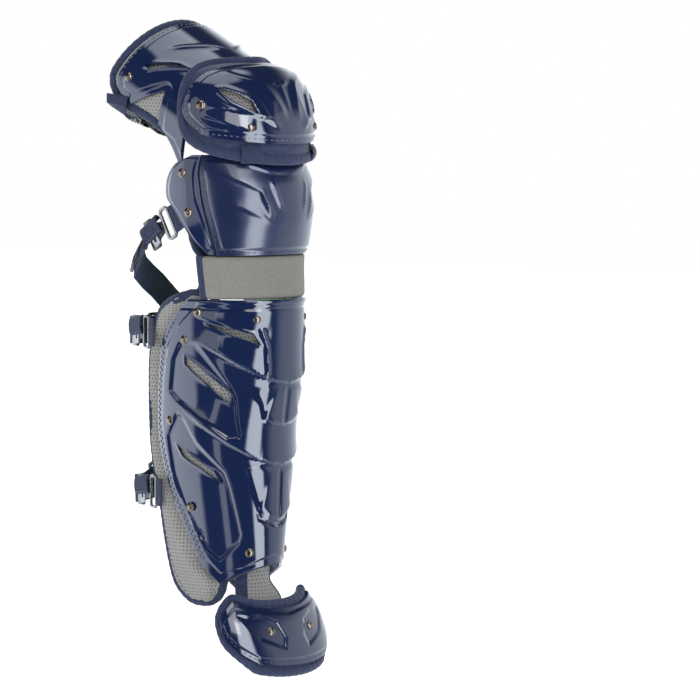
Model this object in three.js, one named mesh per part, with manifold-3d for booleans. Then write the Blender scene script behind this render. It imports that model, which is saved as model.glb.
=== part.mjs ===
// Catcher leg guard for the right leg in millimetres, +Z up, front towards -Y. Its hooks are on
// the outer side, -X.
// The origin is the middle of the knee, where the leg goes.
// Every shell, pad and band is a wall that follows one of five curved surfaces: the thigh arch,
// the knee cap, the lower knee, the shin and the foot. Pads lie under shells by fixed offsets.
import * as THREE from 'three';
import { mergeVertices } from 'three/addons/utils/BufferGeometryUtils.js';
import Module from 'manifold-3d';

const wasm = await Module();
wasm.setup();

// Walls and clearances. Nested walls keep NEST between them, a little more than their facets sag.
const GAP = 0.3;
const NEST = 0.9;
const SHELL_WALL = 2.7;
const PAD_WALL = 7;
const CAP_PAD_WALL = 4.6;
const THIGH_PAD_WALL = 8;
const MESH_PAD_WALL = 7;
const BINDING_REACH = 8;

// Shin shell
const SHIN_TOP = 126.5;
const SHIN_LENGTH = 255;
const SHIN_HALF_WIDTH = 60;
const SHIN_DEPTH = 76.5;
const SHIN_CENTRE_Y = -14;

// Lower knee shell and its side plates
const KNEE_TOP = 2;
const KNEE_HEIGHT = 89;
const KNEE_HALF_WIDTH = 71.5;
const KNEE_DEPTH = 75.3;
const KNEE_CENTRE_Y = -18;

// Upper knee cap
const CAP_TOP = 84;
const CAP_HEIGHT = 92;
const CAP_HALF_WIDTH = 76;
const CAP_DEPTH = 75.5;
const CAP_CENTRE_Y = -20;

// Thigh arch, tilted back from the knee pivot
const THIGH_TILT = 62;
const THIGH_HALF_WIDTH = 66.6;
const THIGH_RISE = 61;
const THIGH_LIFT = 29;
const THIGH_LENGTH = 110;
const PIVOT_Y = -18;
const PIVOT_Z = -7;

// Foot flap
const FOOT_TOP = 385;
const FOOT_HEIGHT = 77;
const FOOT_HALF_WIDTH = 69;
const FOOT_DEPTH = 34;
const FOOT_CENTRE_Y = -50;
const FOOT_FORWARD = 21;

// Webbing and hardware
const WEB_WIDTH = 25;
const WEB_THICK = 1.8;
const PANEL_THICK = 2.6;
const RING_LENGTH = 13;
const RING_WIRE = 2.8;
const HOOK_LENGTH = 22;
const HOOK_THICK = 3;
const SLIDER_LENGTH = 20;
const RIVET_RADIUS = 4.6;
const RIVET_HEIGHT = 1.6;

const FOLD_SHARE = 0.5;

// Section tables: down is a share of the piece's height, wide and deep of its half width and depth
const SHIN_SECTIONS = [
  { down: -0.06, wide: 1, deep: 1 },
  { down: 0.15, wide: 0.983, deep: 0.98 },
  { down: 0.31, wide: 0.958, deep: 0.941 },
  { down: 0.445, wide: 0.925, deep: 0.856 },
  { down: 0.53, wide: 0.892, deep: 0.83 },
  { down: 0.66, wide: 0.817, deep: 0.81 },
  { down: 0.79, wide: 0.733, deep: 0.784 },
  { down: 0.92, wide: 0.658, deep: 0.758 },
  { down: 1.08, wide: 0.61, deep: 0.73 },
];
const KNEE_SECTIONS = [
  { down: 0, wide: 0.951, deep: 0.797 },
  { down: 0.17, wide: 1, deep: 0.896 },
  { down: 0.29, wide: 1, deep: 0.96 },
  { down: 0.42, wide: 1, deep: 0.98 },
  { down: 0.54, wide: 1, deep: 1 },
  { down: 0.66, wide: 1, deep: 1 },
  { down: 0.79, wide: 0.993, deep: 0.969 },
  { down: 1.03, wide: 0.951, deep: 0.93 },
  { down: 1.4, wide: 0.89, deep: 0.969 },
];
const CAP_SECTIONS = [
  { run: 0, drop: 0, wide: 0.289, deep: 0.397 },
  { run: 0.06, drop: 0.016, wide: 0.5, deep: 0.477 },
  { run: 0.14, drop: 0.054, wide: 0.684, deep: 0.57 },
  { run: 0.24, drop: 0.12, wide: 0.829, deep: 0.662 },
  { run: 0.38, drop: 0.239, wide: 0.934, deep: 0.781 },
  { run: 0.55, drop: 0.435, wide: 0.987, deep: 0.9 },
  { run: 0.72, drop: 0.652, wide: 1, deep: 0.98 },
  { run: 0.88, drop: 0.859, wide: 1, deep: 1 },
  { run: 1, drop: 1, wide: 0.993, deep: 0.993 },
];
const FOOT_SECTIONS = [
  { down: 0, wide: 0.841, deep: 0.706, forward: 0 },
  { down: 0.2, wide: 0.913, deep: 0.824, forward: 0.24 },
  { down: 0.39, wide: 0.971, deep: 0.912, forward: 0.48 },
  { down: 0.71, wide: 1, deep: 1, forward: 0.76 },
  { down: 1, wide: 0.928, deep: 1, forward: 1 },
];

// Reads a column of a table at a place between its rows, with a smooth curve through them
function follow(rows, key, at, column) {
  const last = rows.length - 1;
  const place = THREE.MathUtils.clamp(at, rows[0][key], rows[last][key]);
  let i = 0;
  while (i < last - 1 && place > rows[i + 1][key]) i += 1;
  const span = rows[i + 1][key] - rows[i][key];
  const s = (place - rows[i][key]) / span;
  const slope = (k) => {
    const a = Math.max(k - 1, 0);
    const b = Math.min(k + 1, last);
    return (rows[b][column] - rows[a][column]) / (rows[b][key] - rows[a][key]);
  };
  const start = rows[i][column] * (2 * s ** 3 - 3 * s ** 2 + 1) + slope(i) * span * (s ** 3 - 2 * s ** 2 + s);
  const end = rows[i + 1][column] * (3 * s ** 2 - 2 * s ** 3) + slope(i + 1) * span * (s ** 3 - s ** 2);
  return start + end;
}

// A point on a section: angle 0 is the front, 90 the side, and more runs on behind
function sectionPoint(halfWidth, depth, back, centreY, angle, z) {
  const turn = THREE.MathUtils.degToRad(angle);
  const reach = Math.abs(angle) > 90 ? back : depth;
  return new THREE.Vector3(halfWidth * Math.sin(turn), centreY - reach * Math.cos(turn), z);
}

function shinPoint(angle, z, offset = 0) {
  const down = (-z - SHIN_TOP) / SHIN_LENGTH;
  const halfWidth = follow(SHIN_SECTIONS, 'down', down, 'wide') * SHIN_HALF_WIDTH + offset;
  const depth = follow(SHIN_SECTIONS, 'down', down, 'deep') * SHIN_DEPTH + offset;
  return sectionPoint(halfWidth, depth, SHIN_DEPTH + offset, SHIN_CENTRE_Y, angle, z);
}

function kneePoint(angle, z, offset = 0) {
  const down = (KNEE_TOP - z) / KNEE_HEIGHT;
  const halfWidth = follow(KNEE_SECTIONS, 'down', down, 'wide') * KNEE_HALF_WIDTH + offset;
  const depth = follow(KNEE_SECTIONS, 'down', down, 'deep') * KNEE_DEPTH + offset;
  return sectionPoint(halfWidth, depth, KNEE_DEPTH * 0.8 + offset, KNEE_CENTRE_Y, angle, z);
}

// The side plates stand upright beside the knee, so their top does not lean in with the shell
function platePoint(angle, z, offset = 0) {
  const level = Math.min(z, KNEE_TOP - 0.17 * KNEE_HEIGHT);
  const point = kneePoint(angle, level, offset);
  point.z = z;
  return point;
}

// run goes from 0 at the crown of the cap to 1 at its lowest section
function capPoint(angle, run, offset = 0) {
  const z = CAP_TOP - follow(CAP_SECTIONS, 'run', run, 'drop') * CAP_HEIGHT;
  const halfWidth = follow(CAP_SECTIONS, 'run', run, 'wide') * CAP_HALF_WIDTH + offset;
  const depth = follow(CAP_SECTIONS, 'run', run, 'deep') * CAP_DEPTH + offset;
  return sectionPoint(halfWidth, depth, CAP_DEPTH * 0.8 + offset, CAP_CENTRE_Y, angle, z);
}

// up is the distance along the thigh; past 90 degrees the arch runs straight down its sides,
// a millimetre for each degree
function thighPoint(angle, up, offset = 0) {
  const tilt = THREE.MathUtils.degToRad(THIGH_TILT);
  const along = new THREE.Vector3(0, Math.sin(tilt), Math.cos(tilt));
  const outward = new THREE.Vector3(0, -Math.cos(tilt), Math.sin(tilt));
  const turn = THREE.MathUtils.degToRad(THREE.MathUtils.clamp(angle, -90, 90));
  const below = Math.max(Math.abs(angle) - 90, 0);
  const height = THIGH_LIFT + (THIGH_RISE + offset) * Math.cos(turn) - below;
  return new THREE.Vector3((THIGH_HALF_WIDTH + offset) * Math.sin(turn), PIVOT_Y, PIVOT_Z)
    .addScaledVector(along, up)
    .addScaledVector(outward, height);
}

function footPoint(angle, z, offset = 0) {
  const down = (-z - FOOT_TOP) / FOOT_HEIGHT;
  const halfWidth = follow(FOOT_SECTIONS, 'down', down, 'wide') * FOOT_HALF_WIDTH + offset;
  const depth = follow(FOOT_SECTIONS, 'down', down, 'deep') * FOOT_DEPTH + offset;
  const centreY = FOOT_CENTRE_Y - follow(FOOT_SECTIONS, 'down', down, 'forward') * FOOT_FORWARD;
  return sectionPoint(halfWidth, depth, depth, centreY, angle, z);
}

// Turns a list of corners and triangles into one closed body whose faces point out
function body(corners, faces) {
  let volume = 0;
  for (const [a, b, c] of faces) volume += corners[a].dot(corners[b].clone().cross(corners[c]));
  const ordered = volume > 0 ? faces : faces.map(([a, b, c]) => [a, c, b]);
  const geometry = new THREE.BufferGeometry().setFromPoints(corners);
  geometry.setIndex(ordered.flat());
  return geometry;
}

// A wall between two offsets of a surface. Each row gives the angles from and to, the height of
// its ends and the bow of its middle above them. A row may also give the angle of a fold line,
// which then lies FOLD_SHARE of the way across.
function wall(surface, rows, outer, inner, across, down = rows.length - 1) {
  const listed = rows.map((row, index) => ({ index, ...row }));
  const corners = [];
  const at = (side, i, j) => (side * (down + 1) + i) * (across + 1) + j;
  for (const offset of [outer, inner]) {
    for (let i = 0; i <= down; i += 1) {
      const place = (i / down) * (rows.length - 1);
      const [from, to, edge, bow] = ['from', 'to', 'edge', 'bow'].map((c) => follow(listed, 'index', place, c));
      const fold = 'fold' in rows[0] ? follow(listed, 'index', place, 'fold') : from + (to - from) * FOLD_SHARE;
      for (let j = 0; j <= across; j += 1) {
        const s = j / across;
        const before = s <= FOLD_SHARE;
        const angle = before ? from + (fold - from) * s / FOLD_SHARE
          : fold + (to - fold) * (s - FOLD_SHARE) / (1 - FOLD_SHARE);
        const height = edge + bow * (1 - (2 * s - 1) ** 2);
        const rise = typeof offset === 'function' ? offset(s, i / down, angle, height) : offset;
        corners.push(surface(angle, height, rise));
      }
    }
  }
  const faces = [];
  const quad = (a, b, c, d) => faces.push([a, b, c], [a, c, d]);
  for (let i = 0; i < down; i += 1) {
    for (let j = 0; j < across; j += 1) {
      quad(at(0, i, j), at(0, i, j + 1), at(0, i + 1, j + 1), at(0, i + 1, j));
      quad(at(1, i, j), at(1, i + 1, j), at(1, i + 1, j + 1), at(1, i, j + 1));
    }
    quad(at(0, i, 0), at(0, i + 1, 0), at(1, i + 1, 0), at(1, i, 0));
    quad(at(0, i, across), at(1, i, across), at(1, i + 1, across), at(0, i + 1, across));
  }
  for (let j = 0; j < across; j += 1) {
    quad(at(0, 0, j), at(1, 0, j), at(1, 0, j + 1), at(0, 0, j + 1));
    quad(at(0, down, j), at(0, down, j + 1), at(1, down, j + 1), at(1, down, j));
  }
  return body(corners, faces);
}

// Rows that reach the same angle on both sides
function evenRows(rows) {
  return rows.map(({ reach, edge, bow }) => ({ from: -reach, to: reach, edge, bow }));
}

// A block through a shell, from a ring of angle and height pairs on its surface
function ventBlock(surface, ring) {
  const count = ring.length;
  const corners = [3 * SHELL_WALL, -3 * SHELL_WALL].flatMap((offset) => (
    ring.map(([angle, height]) => surface(angle, height, offset))));
  const faces = [];
  for (let i = 1; i < count - 1; i += 1) {
    faces.push([0, i, i + 1], [count, count + i + 1, count + i]);
  }
  for (let i = 0; i < count; i += 1) {
    const next = (i + 1) % count;
    faces.push([i, count + i, count + next], [i, count + next, next]);
  }
  return body(corners, faces);
}

function solid(geometry) {
  const bare = new THREE.BufferGeometry().setAttribute('position', geometry.getAttribute('position'));
  bare.setIndex(geometry.getIndex());
  const merged = mergeVertices(bare, 0.001);
  const vertProperties = new Float32Array(merged.getAttribute('position').array);
  const triVerts = new Uint32Array(merged.getIndex().array);
  return new wasm.Manifold(new wasm.Mesh({ numProp: 3, vertProperties, triVerts }));
}

// Cuts each vent, and its mirror image, out of a shell
function vented(shell, surface, vents) {
  let result = solid(shell);
  for (const ring of vents) {
    for (const side of [1, -1]) {
      const block = solid(ventBlock(surface, ring.map(([a, h]) => [a * side, h])));
      result = result.subtract(block);
    }
  }
  const { vertProperties, triVerts } = result.getMesh();
  const geometry = new THREE.BufferGeometry();
  geometry.setAttribute('position', new THREE.BufferAttribute(new Float32Array(vertProperties), 3));
  geometry.setIndex(Array.from(triVerts));
  return geometry;
}

// Unit directions of a band that runs along one way: across it, as near as can be to the
// direction given, and out of its face
function bandDirections(along, widthDirection) {
  const forward = along.clone().normalize();
  const flat = forward.clone().cross(widthDirection).normalize();
  return { forward, flat, wide: flat.clone().cross(forward) };
}

// Flat webbing along a path
function webbing(points, widthDirection, width = WEB_WIDTH, thick = WEB_THICK) {
  const corners = [];
  points.forEach((point, i) => {
    const before = points[Math.max(i - 1, 0)];
    const after = points[Math.min(i + 1, points.length - 1)];
    const { flat, wide } = bandDirections(after.clone().sub(before), widthDirection);
    for (const [w, t] of [[-1, -1], [1, -1], [1, 1], [-1, 1]]) {
      corners.push(point.clone().addScaledVector(wide, w * width / 2).addScaledVector(flat, t * thick / 2));
    }
  });
  const faces = [];
  const quad = (a, b, c, d) => faces.push([a, b, c], [a, c, d]);
  const last = 4 * (points.length - 1);
  for (let i = 0; i < last; i += 4) {
    for (let k = 0; k < 4; k += 1) {
      const next = (k + 1) % 4;
      quad(i + k, i + next, i + 4 + next, i + 4 + k);
    }
  }
  quad(0, 3, 2, 1);
  quad(last, last + 1, last + 2, last + 3);
  return body(corners, faces);
}

// Points of a smooth path through a few chosen places
function smoothPath(places, steps) {
  return new THREE.CatmullRomCurve3(places, false, 'centripetal').getPoints(steps);
}

// A flat outline given a thickness, with x across, y along and z outwards at its place
function plate(shape, thick, place, along, across) {
  const geometry = new THREE.ExtrudeGeometry(shape, { depth: thick, bevelEnabled: false, curveSegments: 4 });
  geometry.translate(0, 0, -thick / 2);
  const outward = across.clone().cross(along);
  geometry.applyMatrix4(new THREE.Matrix4().makeBasis(across, along, outward).setPosition(place));
  return geometry;
}

function rectangle(halfX, lowY, highY, corner, target = new THREE.Shape()) {
  target.moveTo(-halfX + corner, lowY);
  target.lineTo(halfX - corner, lowY);
  target.lineTo(halfX, lowY + corner);
  target.lineTo(halfX, highY - corner);
  target.lineTo(halfX - corner, highY);
  target.lineTo(-halfX + corner, highY);
  target.lineTo(-halfX, highY - corner);
  target.lineTo(-halfX, lowY + corner);
  target.closePath();
  return target;
}

const materials = {
  shell: { color: 0x16265a, roughness: 0.22, metalness: 0 },
  cloth: { color: 0x34426e, roughness: 0.9, metalness: 0 },
  grey: { color: 0x87857f, roughness: 0.9, metalness: 0 },
  green: { color: 0x9bf091, roughness: 0.9, metalness: 0 },
  black: { color: 0x151518, roughness: 0.6, metalness: 0 },
  yellow: { color: 0xebe178, roughness: 0.6, metalness: 0 },
  white: { color: 0xf2f2f2, roughness: 0.8, metalness: 0 },
  plastic: { color: 0x1a1a1c, roughness: 0.4, metalness: 0 },
  metal: { color: 0xb9bcc2, roughness: 0.3, metalness: 1 },
};

const group = new THREE.Group();

function add(name, geometry, finish) {
  const mesh = new THREE.Mesh(geometry, new THREE.MeshStandardMaterial(materials[finish]));
  mesh.name = name;
  group.add(mesh);
}

const PAD_OUTER = -SHELL_WALL - NEST;
const PAD_INNER = PAD_OUTER - PAD_WALL;

// Thigh arch: a ventilated shell with a side arm each side, over its pad
const THIGH_SHELL_ROWS = evenRows([
  { reach: 84, edge: THIGH_LENGTH - BINDING_REACH, bow: -4 },
  { reach: 95, edge: THIGH_LENGTH * 0.85, bow: -2 },
  { reach: 99, edge: THIGH_LENGTH * 0.69, bow: 0 },
  { reach: 99, edge: THIGH_LENGTH * 0.5, bow: 0 },
  { reach: 99, edge: THIGH_LENGTH * 0.35, bow: 2 },
  { reach: 108, edge: THIGH_LENGTH * 0.15, bow: 12 },
  { reach: 121, edge: -THIGH_LENGTH * 0.03, bow: 24 },
]);
const THIGH_NOTCH = [[-106, THIGH_LENGTH * 0.75], [-71, THIGH_LENGTH * 0.43], [-106, THIGH_LENGTH * 0.33]];
const THIGH_VENT = [[-64.5, 0.736], [-56, 0.645], [-47, 0.5], [-45, 0.39], [-51, 0.51], [-65, 0.68]]
  .map(([angle, share]) => [angle, share * THIGH_LENGTH]);
const thighShell = wall(thighPoint, THIGH_SHELL_ROWS, 0, -SHELL_WALL, 16, 8);
add('thigh_shell', vented(thighShell, thighPoint, [THIGH_NOTCH, THIGH_VENT]), 'shell');

const THIGH_PAD_ROWS = evenRows([
  { reach: 88, edge: THIGH_LENGTH + 1, bow: -4 },
  { reach: 99, edge: THIGH_LENGTH * 0.94, bow: -3 },
  { reach: 104, edge: THIGH_LENGTH * 0.76, bow: 0 },
  { reach: 102, edge: THIGH_LENGTH * 0.5, bow: 0 },
  { reach: 102, edge: THIGH_LENGTH * 0.3, bow: 2 },
  { reach: 94, edge: THIGH_LENGTH * 0.13, bow: 9 },
]);
add('thigh_pad', wall(thighPoint, THIGH_PAD_ROWS, PAD_OUTER, PAD_OUTER - THIGH_PAD_WALL, 14, 6), 'green');

// Knee cap: a domed shell over a thin pad that shows as a border all round it
const CAP_SHELL_ROWS = evenRows([
  { reach: 54, edge: 0.14, bow: -0.1 },
  { reach: 66, edge: 0.22, bow: -0.06 },
  { reach: 74, edge: 0.34, bow: 0 },
  { reach: 82, edge: 0.5, bow: 0 },
  { reach: 80, edge: 0.62, bow: 0.02 },
  { reach: 68, edge: 0.73, bow: 0.06 },
]);
const CAP_VENT = [[-52.5, 0.376], [-50.7, 0.435], [-43.9, 0.492], [-33.5, 0.573], [-26.6, 0.604],
  [-29.6, 0.495], [-37.6, 0.437]];
const capShell = wall(capPoint, CAP_SHELL_ROWS, 0, -SHELL_WALL, 16, 8);
add('upper_knee_shell', vented(capShell, capPoint, [CAP_VENT]), 'shell');

const CAP_PAD_ROWS = evenRows([
  { reach: 52, edge: 0.03, bow: -0.02 },
  { reach: 76, edge: 0.1, bow: -0.05 },
  { reach: 86, edge: 0.22, bow: -0.02 },
  { reach: 89, edge: 0.5, bow: 0 },
  { reach: 87, edge: 0.69, bow: 0.03 },
  { reach: 79, edge: 0.79, bow: 0.1 },
  { reach: 64, edge: 0.86, bow: 0.1 },
]);
add('upper_knee_pad', wall(capPoint, CAP_PAD_ROWS, PAD_OUTER, PAD_OUTER - CAP_PAD_WALL, 14, 7), 'cloth');

// Lower knee: a cupped shell, a plate each side of it, its pad and the cushion inside
const kneeHeight = (down) => KNEE_TOP - down * KNEE_HEIGHT;
const KNEE_EDGE = [
  { reach: 66, down: 0 },
  { reach: 68.5, down: 0.15 },
  { reach: 68.5, down: 0.34 },
  { reach: 66, down: 0.57 },
  { reach: 61, down: 0.8 },
  { reach: 57, down: 1 },
];
const KNEE_ROWS = evenRows(KNEE_EDGE.map(({ reach, down }) => ({ reach, edge: kneeHeight(down), bow: 0 })));
const crease = (s, t) => 2.5 * Math.exp(-(((2 * s - 1) * 4) ** 2)) * Math.sin(Math.PI * t);
add('lower_knee_shell', wall(kneePoint, KNEE_ROWS, crease, -SHELL_WALL, 16, 7), 'shell');
add('lower_knee_pad', wall(kneePoint, KNEE_ROWS, PAD_OUTER, PAD_INNER, 12, 5), 'black');

const PLATE_WALL = 3.6;
const PLATE_CLEARANCE = 1.6;
const PLATE_ROWS = [
  { back: 75, down: 0 },
  { back: 92, down: 0.1 },
  { back: 102, down: 0.26 },
  { back: 102.5, down: 0.42 },
  { back: 92, down: 0.55 },
  { back: 83, down: 0.72 },
  { back: 74.5, down: 0.87 },
  { back: 64, down: 0.99 },
];
for (const [side, label] of [[-1, 'left'], [1, 'right']]) {
  const rows = PLATE_ROWS.map(({ back, down }) => {
    const front = follow(KNEE_EDGE, 'down', down, 'reach') + PLATE_CLEARANCE;
    return { from: side * front, to: side * back, edge: kneeHeight(down), bow: 0 };
  });
  add(`knee_side_plate_${label}`, wall(platePoint, rows, 0, -PLATE_WALL, 5), 'shell');
}

const CUSHION_WALL = 15;
const CUSHION_DISH = 8;
const INSERT_WALL = 4;
const CUSHION_OUTER = PAD_INNER - 1.5 * NEST;
const CUSHION_ROWS = evenRows([
  { reach: 70, edge: kneeHeight(0.13), bow: 4 },
  { reach: 84, edge: kneeHeight(0.28), bow: 0 },
  { reach: 88, edge: kneeHeight(0.58), bow: 0 },
  { reach: 84, edge: kneeHeight(0.93), bow: 0 },
  { reach: 66, edge: kneeHeight(1.15), bow: -3 },
]);
const dish = (s, t) => {
  const centre = Math.max(Math.abs(2 * s - 1) / 0.62, Math.abs(2 * t - 1) / 0.7);
  return CUSHION_OUTER - CUSHION_WALL + (centre < 1 ? CUSHION_DISH : 0);
};
add('knee_cushion', wall(kneePoint, CUSHION_ROWS, CUSHION_OUTER, dish, 14, 8), 'black');
const INSERT_ROWS = evenRows([
  { reach: 28, edge: kneeHeight(0.43), bow: 0 },
  { reach: 38, edge: kneeHeight(0.55), bow: 0 },
  { reach: 38, edge: kneeHeight(0.76), bow: 0 },
  { reach: 28, edge: kneeHeight(0.88), bow: 0 },
]);
const INSERT_OUTER = CUSHION_OUTER - CUSHION_WALL + CUSHION_DISH - 2 * NEST;
add('knee_insert', wall(kneePoint, INSERT_ROWS, INSERT_OUTER, INSERT_OUTER - INSERT_WALL, 8, 4), 'yellow');

// Front band between the knee and the shin
const BAND_TOP = kneeHeight(1) - 2 * GAP;
const BAND_BOTTOM = -SHIN_TOP + 2 * GAP;
const BAND_ROWS = evenRows([
  { reach: 72, edge: BAND_TOP, bow: 0 },
  { reach: 72, edge: (BAND_TOP + BAND_BOTTOM) / 2, bow: 0 },
  { reach: 72, edge: BAND_BOTTOM, bow: 0 },
]);
add('front_band', wall(kneePoint, BAND_ROWS, -1, -1 - PAD_WALL, 14, 2), 'grey');

// Shin: one long shell with three vents a side and a centre strip of overlapping steps
const shinHeight = (down) => -SHIN_TOP - down * SHIN_LENGTH;
const SHIN_EDGE = [
  { reach: 83, edge: shinHeight(0), bow: 0 },
  { reach: 98, edge: shinHeight(0.07), bow: 0 },
  { reach: 110, edge: shinHeight(0.15), bow: 0 },
  { reach: 117, edge: shinHeight(0.29), bow: 0 },
  { reach: 121, edge: shinHeight(0.44), bow: 0 },
  { reach: 118, edge: shinHeight(0.55), bow: 0 },
  { reach: 110, edge: shinHeight(0.68), bow: 0 },
  { reach: 97, edge: shinHeight(0.82), bow: 2 },
  { reach: 86, edge: shinHeight(0.93), bow: 9 },
  { reach: 67, edge: shinHeight(1), bow: 17 },
];
const SHIN_VENTS = [
  [[-69.1, 0.083], [-52, 0.1], [-34.5, 0.118], [-28.5, 0.158], [-42, 0.136], [-56.3, 0.113]],
  [[-88, 0.196], [-69, 0.262], [-50.5, 0.328], [-49.5, 0.366], [-69, 0.297], [-88.1, 0.227]],
  [[-99, 0.512], [-82, 0.559], [-64.5, 0.607], [-60.5, 0.635], [-77, 0.595], [-94, 0.555]],
].map((ring) => ring.map(([angle, share]) => [angle, shinHeight(share)]));
const STEP_HEIGHT = 2.4;
const STEP_ENDS = [0, 0.29, 0.44, 0.57, 0.78];
const steps = (s, t) => {
  const side = Math.abs(2 * s - 1);
  const slip = t + side * 0.18;
  const start = STEP_ENDS.findLastIndex((end) => slip >= end);
  const length = (STEP_ENDS[start + 1] ?? 1.2) - STEP_ENDS[start];
  return STEP_HEIGHT * Math.exp(-((side * 4) ** 4)) * (slip - STEP_ENDS[start]) / length;
};
const shinShell = wall(shinPoint, evenRows(SHIN_EDGE), steps, -SHELL_WALL, 20, 16);
add('shin_shell', vented(shinShell, shinPoint, SHIN_VENTS), 'shell');

const SHIN_PAD_REACH = 62;
const SHIN_PAD_BOW = SHIN_LENGTH * 0.063;
const SHIN_PAD_ROWS = evenRows([0, 0.25, 0.5, 0.75, 0.995].map((down) => (
  { reach: SHIN_PAD_REACH, edge: shinHeight(down), bow: SHIN_PAD_BOW * down ** 6 })));
add('shin_pad', wall(shinPoint, SHIN_PAD_ROWS, PAD_OUTER, PAD_INNER, 10, 8), 'green');

const MESH_PAD_OUTER = PAD_INNER - NEST;
const MESH_PAD_ROWS = evenRows([0.04, 0.3, 0.6, 0.84].map((down) => (
  { reach: 46, edge: shinHeight(down), bow: 0 })));
const MESH_PAD_INNER = MESH_PAD_OUTER - MESH_PAD_WALL;
add('shin_mesh_pad', wall(shinPoint, MESH_PAD_ROWS, MESH_PAD_OUTER, MESH_PAD_INNER, 8, 4), 'black');

// Calf wings: padded side panels that start beside the shin pad and flare past the shell's edge
const WING_ROWS = [
  { front: 76, back: 84, down: -0.02 },
  { front: 69, back: 100, down: 0.012 },
  { front: 64, back: 111, down: 0.05 },
  { front: 64, back: 120, down: 0.12 },
  { front: 64, back: 128, down: 0.22 },
  { front: 64, back: 132, down: 0.36 },
  { front: 64, back: 133, down: 0.5 },
  { front: 64, back: 130, down: 0.6 },
  { front: 64, back: 124, down: 0.7 },
  { front: 64, back: 121, down: 0.84 },
  { front: 64, back: 117, down: 0.94 },
  { front: 65, back: 111, down: 1.01 },
  { front: 72, back: 100, down: 1.055 },
  { front: 80, back: 92, down: 1.07 },
];
const WING_FLARE = 6.5;
const FLARE_START = 3;
const FLARE_END = 11;
const shellReach = (z) => {
  const edge = SHIN_EDGE.map((row) => ({ down: (-row.edge - SHIN_TOP) / SHIN_LENGTH, reach: row.reach }));
  return follow(edge, 'down', (-z - SHIN_TOP) / SHIN_LENGTH, 'reach');
};
const wingFlare = (angle, z) => {
  const past = Math.abs(angle) - shellReach(z);
  return WING_FLARE * THREE.MathUtils.smoothstep(past, FLARE_START, FLARE_END);
};
for (const [side, label] of [[-1, 'left'], [1, 'right']]) {
  const rows = WING_ROWS.map(({ front, back, down }) => {
    const edge = shinHeight(down);
    const fold = THREE.MathUtils.clamp(shellReach(edge) + FLARE_START, front + 3, back - 3);
    return { from: side * front, to: side * back, fold: side * fold, edge, bow: 0 };
  });
  const outer = (s, t, angle, z) => PAD_OUTER + wingFlare(angle, z);
  const inner = (s, t, angle, z) => PAD_INNER + wingFlare(angle, z);
  add(`calf_wing_${label}`, wall(shinPoint, rows, outer, inner, 8, 15), 'grey');
}
const PATCH_WALL = 1;
const PATCH_LIFT = 1.5;
add('wing_patch', wall(shinPoint, [
  { from: 93, to: 104, edge: shinHeight(0.93), bow: 0 },
  { from: 86, to: 110, edge: shinHeight(0.96), bow: 0 },
  { from: 86, to: 110, edge: shinHeight(1), bow: 0 },
  { from: 93, to: 104, edge: shinHeight(1.035), bow: 0 },
], (s, t, angle, z) => PAD_OUTER + wingFlare(angle, z) + PATCH_LIFT + PATCH_WALL,
(s, t, angle, z) => PAD_OUTER + wingFlare(angle, z) + PATCH_LIFT, 6, 4), 'black');

// Foot flap: a small shell and pad that hang from the shin by a soft neck
const footHeight = (down) => -FOOT_TOP - down * FOOT_HEIGHT;
const FOOT_PAD_ROWS = evenRows([
  { reach: 60, edge: footHeight(0.08), bow: -9 },
  { reach: 80, edge: footHeight(0.2), bow: -6 },
  { reach: 92, edge: footHeight(0.35), bow: -4 },
  { reach: 83, edge: footHeight(0.56), bow: -4 },
  { reach: 64, edge: footHeight(0.73), bow: -5 },
  { reach: 46, edge: footHeight(0.9), bow: -5 },
]);
const FOOT_SHELL_ROWS = evenRows([
  { reach: 58, edge: footHeight(0.115), bow: -9 },
  { reach: 70, edge: footHeight(0.22), bow: -6 },
  { reach: 80, edge: footHeight(0.36), bow: -4 },
  { reach: 76, edge: footHeight(0.51), bow: -4 },
  { reach: 60, edge: footHeight(0.68), bow: -4 },
  { reach: 42, edge: footHeight(0.82), bow: -4 },
]);
add('foot_shell', wall(footPoint, FOOT_SHELL_ROWS, 0, -SHELL_WALL, 12, 6), 'shell');
const FOOT_PAD_WALL = 9;
add('foot_pad', wall(footPoint, FOOT_PAD_ROWS, PAD_OUTER, PAD_OUTER - FOOT_PAD_WALL, 12, 6), 'cloth');

const NECK_WALL = 4;
const NECK_ROWS = evenRows([
  { reach: 40, edge: shinHeight(0.86), bow: 2 },
  { reach: 42, edge: shinHeight(0.96), bow: 2 },
  { reach: 44, edge: shinHeight(1.075), bow: -2 },
]);
const NECK_FLARE = 12.2;
const neckOuter = (s, t) => PAD_INNER - NEST + THREE.MathUtils.smoothstep(t, 0.6, 1) * NECK_FLARE;
const neckInner = (s, t) => neckOuter(s, t) - NECK_WALL;
add('ankle_neck', wall(shinPoint, NECK_ROWS, neckOuter, neckInner, 8, 5), 'grey');

// Calf panel: a Y of cloth behind the calf, with a bare label on it
const PANEL_BACK = 46;
const PANEL_CURVE = 6;
const PANEL_HALF_WIDTH = 44;
const panelPoint = (x, z, offset) => (
  new THREE.Vector3(x, PANEL_BACK - PANEL_CURVE * (x / PANEL_HALF_WIDTH) ** 2 + offset, z));
const PANEL_ROWS = [
  { half: 0.86, down: 0.09, bow: -0.08 },
  { half: 0.82, down: 0.13, bow: -0.06 },
  { half: 0.78, down: 0.22, bow: -0.02 },
  { half: 0.72, down: 0.35, bow: 0 },
  { half: 0.68, down: 0.48, bow: 0 },
  { half: 0.56, down: 0.57, bow: -0.01 },
  { half: 0.4, down: 0.61, bow: -0.02 },
].map(({ half, down, bow }) => {
  const reach = half * PANEL_HALF_WIDTH;
  return { from: -reach, to: reach, edge: shinHeight(down), bow: bow * SHIN_LENGTH };
});
add('calf_panel', wall(panelPoint, PANEL_ROWS, PANEL_THICK / 2, -PANEL_THICK / 2, 8, 6), 'cloth');

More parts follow.
